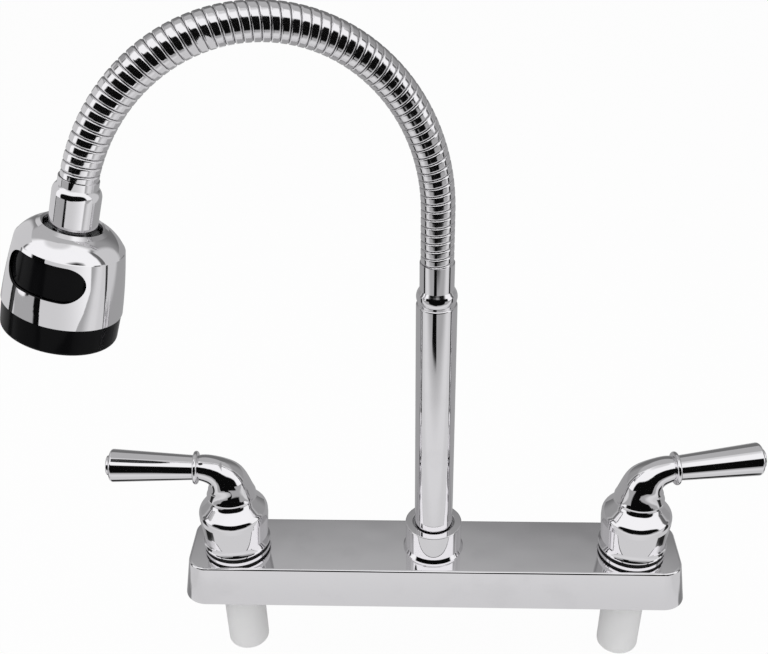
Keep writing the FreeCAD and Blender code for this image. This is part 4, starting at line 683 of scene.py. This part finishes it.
# %% Give every solid its finish
FINISHES = dict(bright_chrome=bright_chrome, hose_chrome=hose_chrome, black_gloss=black_gloss,
                black_rubber=black_rubber, white_cap=white_cap, grey_nylon=grey_nylon,
                soft_tube=soft_tube, spray_face=spray_face, cast_brass=cast_brass,
                ceramic=ceramic, steel=steel)
for part in frame["record"]["subparts"]:
    surface = frame["nodes"][part["node"]].data
    surface.materials.clear()
    surface.materials.append(FINISHES[part["material_slot"]])
print(len(FINISHES), "finishes on", len(frame["record"]["subparts"]), "solids")

# %% [markdown]
# ## The hose's line
# The hose leaves the lower ferrule straight up, follows part of an ellipse in an upright plane
# and ends in the upper ferrule. It could be a curve object with control points, but the ribs
# need exact lengths along it, so the line is worked out as length against angle. The plane
# passes through the riser and is turned 15.3 degrees to the front.

# %% Points and directions along the hose
HOSE_START, BEND_START = 184.2, 207.7
RIB_COUNT, BEND_STEPS = 67, 4001
BEND_ACROSS, BEND_UP, BEND_END = 72.4, 80.8, math.radians(161.1)
PLANE_TURN = math.radians(15.3)
OUTWARD = np.array([-math.cos(PLANE_TURN), -math.sin(PLANE_TURN), 0.0])
UPWARD = np.array([0.0, 0.0, 1.0])
SIDEWAYS = np.cross(UPWARD, OUTWARD)

bend_angles = np.linspace(0.0, BEND_END, BEND_STEPS)
bend_pace = np.hypot(BEND_ACROSS * np.sin(bend_angles), BEND_UP * np.cos(bend_angles))
bend_ways = np.concatenate([[0.0], np.cumsum(
    (bend_pace[1:] + bend_pace[:-1]) / 2 * np.diff(bend_angles))])
STRAIGHT = BEND_START - HOSE_START
HOSE_LENGTH = STRAIGHT + bend_ways[-1]
RIB = HOSE_LENGTH / RIB_COUNT


def hose_line(ways):
    """Points, directions and inward normals of the axis at lengths from the lower ferrule. The
    point is (a(1 - cos t), b sin t) in the plane, where t is looked up from the length; before
    the bend and past its end the line goes straight on."""
    ways = np.asarray(ways, float)
    rest = np.clip(ways - STRAIGHT, 0.0, bend_ways[-1])
    angle = np.interp(rest, bend_ways, bend_angles)
    beyond = np.minimum(ways - STRAIGHT, 0.0) + np.maximum(ways - HOSE_LENGTH, 0.0)
    across = BEND_ACROSS * np.sin(angle)
    up = BEND_UP * np.cos(angle)
    long = np.hypot(across, up)
    ahead = (across / long)[:, None] * OUTWARD + (up / long)[:, None] * UPWARD
    spot = ((BEND_ACROSS * (1 - np.cos(angle)))[:, None] * OUTWARD
            + (BEND_START + BEND_UP * np.sin(angle))[:, None] * UPWARD)
    return spot + beyond[:, None] * ahead, ahead, np.cross(SIDEWAYS, ahead)


print("hose %.1f mm long, ribs %.2f mm apart" % (HOSE_LENGTH, RIB))

# %% [markdown]
# ## Surfaces from grids
# A round part can be a cylinder with modifiers or a spun curve. Here each one is a grid of
# points, rows along the part and columns around it, computed as whole arrays. The grid says how
# rows and columns close, and one function turns it into a mesh with smooth faces and sharp
# edges where two faces meet at a corner.

# %% A mesh from a grid of points
def grid_piece(name, points, material, slot, close_rows=True, sharp=40.0, **attributes):
    """points is rows x columns x 3 in mm. Columns always close round; rows close too where
    close_rows is true. Each cell is one quad, and attributes are one number per point."""
    rows, columns = points.shape[:2]
    index = np.arange(rows * columns).reshape(rows, columns)
    last = rows if close_rows else rows - 1
    below, above = index[:last], np.roll(index, -1, axis=0)[:last]
    quads = np.stack([below, np.roll(below, -1, axis=1), np.roll(above, -1, axis=1), above],
                     axis=-1).reshape(-1, 4)
    mesh = bpy.data.meshes.new(name)
    mesh.from_pydata((points.reshape(-1, 3) * MM).tolist(), [], quads.tolist())
    mesh.shade_smooth()
    mesh.set_sharp_from_angle(angle=math.radians(sharp))
    for key, values in attributes.items():
        layer = mesh.attributes.new(key, "FLOAT", "POINT")
        layer.data.foreach_set("value", np.asarray(values, np.float32).ravel())
    mesh.materials.append(material)
    piece = bpy.data.objects.new(name, mesh)
    scene.collection.objects.link(piece)
    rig.slot(piece, slot)
    return piece


def rings_on_hose(ways, radii, turns):
    """Rings square to the hose's line: spot + radius (normal cos turn - sideways sin turn)."""
    spot, ahead, normal = hose_line(ways)
    cos, sin = np.cos(turns)[None, :, None], np.sin(turns)[None, :, None]
    around = normal[:, None, :] * cos - SIDEWAYS[None, None, :] * sin
    return spot[:, None, :] + radii[:, :, None] * around


print("hose ends at", np.round(hose_line([HOSE_LENGTH])[0][0], 1), "mm")

# %% [markdown]
# ## The strip-wound hose
# The real hose is one steel strip, flat with round edges and wound in a tight spiral, each turn
# hooked over the last. That lets it bend and stay bent. It could be a stack of rings, but rings
# don't show the slight slant of a winding, so the radius here depends on length along the hose
# plus the turn round it, and the groove runs as one screw line. It comes in two lengths that
# meet at the crown, because each one bends over its own joint.

# %% Two lengths of wound hose
CREST, GROOVE, BORE, PLAIN = 7.2, 6.6, 5.6, 6.9
AROUND, ROWS_A_RIB = 64, 24
STRIP, EDGE = 0.93, 0.20
PLAIN_END, CORNER, BORE_STEP = 5.5, 0.01, 3.0
turns = np.linspace(0.0, 2 * math.pi, AROUND, endpoint=False)


def winding(ways):
    """Radius and groove depth at every length and turn. The phase is how far a point is
    through its turn of strip: flat for the most part, round at both edges, then a groove."""
    phase = (ways[:, None] / RIB + turns[None, :] / (2 * math.pi)) % 1.0
    to_edge = np.clip(np.minimum(phase, STRIP - phase) / EDGE, 0.0, 1.0)
    hump = np.sqrt(1.0 - (1.0 - to_edge) ** 2)
    return GROOVE + (CREST - GROOVE) * hump, 1.0 - hump


def hose_piece(name, start, finish, plain_foot, plain_top):
    """The skin from start to finish, its plain ends, and back through the bore."""
    ways = np.linspace(start, finish, int(round((finish - start) / RIB * ROWS_A_RIB)) + 1)
    radii, depth = winding(ways)
    edge = np.ones((1, AROUND))
    if plain_foot:
        ways = np.concatenate([[start - PLAIN_END, start - CORNER], ways])
        radii = np.concatenate([PLAIN * edge, PLAIN * edge, radii])
        depth = np.concatenate([edge, edge, depth])
    if plain_top:
        ways = np.concatenate([ways, finish + np.array([CORNER, RIB, RIB + PLAIN_END])])
        radii = np.concatenate([radii, np.repeat(PLAIN * edge, 3, axis=0)])
        depth = np.concatenate([depth, np.repeat(edge, 3, axis=0)])
    back = np.linspace(ways[-1], ways[0], int((ways[-1] - ways[0]) / BORE_STEP))
    ways = np.concatenate([ways, back])
    radii = np.concatenate([radii, BORE * np.ones((len(back), AROUND))])
    depth = np.concatenate([depth, np.ones((len(back), AROUND))])
    return grid_piece(name, rings_on_hose(ways, radii, turns), hose_chrome, "hose_chrome",
                      groove=depth)


# Where the hose bends and where its two lengths meet, counted in ribs from the lower ferrule.
LOWER_BEND, CROWN, UPPER_BEND = (12 * RIB, 22 * RIB), 34 * RIB, (46 * RIB, 56 * RIB)
lower_hose = hose_piece("hose_lower_length", 0.0, CROWN, True, False)
upper_hose = hose_piece("hose_upper_length", CROWN, HOSE_LENGTH - RIB, False, True)


def bend_ends(stretch):
    """The two points on the hose's line, in metres, between which it bends."""
    return [tuple(spot * MM) for spot in hose_line(stretch)[0]]


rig.replaces(lower_hose, "hose_lower", "hose_flex_lower", "hose_middle")
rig.replaces(upper_hose, "hose_flex_upper", "hose_upper")
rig.blend(lower_hose, "spout", "gooseneck_middle", *bend_ends(LOWER_BEND))
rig.blend(upper_hose, "gooseneck_middle", "gooseneck_end", *bend_ends(UPPER_BEND))
print(len(lower_hose.data.polygons), "and", len(upper_hose.data.polygons), "faces")

# %% [markdown]
# ## The soft tube inside the hose
# The strip isn't watertight, so the water runs in a soft tube through the hose. It hardly shows,
# but it is made the same way and in the same two lengths, so that it bends with the hose.

# %% Two lengths of soft tube
TUBE_RADIUS, TUBE_BORE, TUBE_STEP = 4.3, 3.2, 2.0
BELOW_HOSE, PAST_HOSE = 32.8, 6.4
few_turns = turns[::2]


def tube_piece(name, start, finish):
    """A plain tube: out along the outer radius and back along the bore."""
    ways = np.linspace(start, finish, int((finish - start) / TUBE_STEP))
    radii = np.concatenate([np.full(len(ways), TUBE_RADIUS), np.full(len(ways), TUBE_BORE)])
    ways = np.concatenate([ways, ways[::-1]])
    return grid_piece(name, rings_on_hose(ways, np.repeat(radii[:, None], len(few_turns), 1),
                                          few_turns), soft_tube, "soft_tube")


lower_tube = tube_piece("soft_tube_lower", -BELOW_HOSE, CROWN)
upper_tube = tube_piece("soft_tube_upper", CROWN, HOSE_LENGTH + PAST_HOSE)
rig.replaces(lower_tube, "water_tube")
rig.replaces(upper_tube, "water_tube")
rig.blend(lower_tube, "spout", "gooseneck_middle", *bend_ends(LOWER_BEND))
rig.blend(upper_tube, "gooseneck_middle", "gooseneck_end", *bend_ends(UPPER_BEND))
print("tube %.1f mm long" % (BELOW_HOSE + HOSE_LENGTH + PAST_HOSE))

# %% [markdown]
# ## Sizes
# The solids' box and the finished object's box are written down, so that they can be compared.

# %% Write both boxes
import json

with open("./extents.json", "w") as record:
    json.dump({"solids": np.array(solids_box).tolist(),
               "finished": np.array(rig.bounds()).tolist()}, record)
print(open("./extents.json").read())
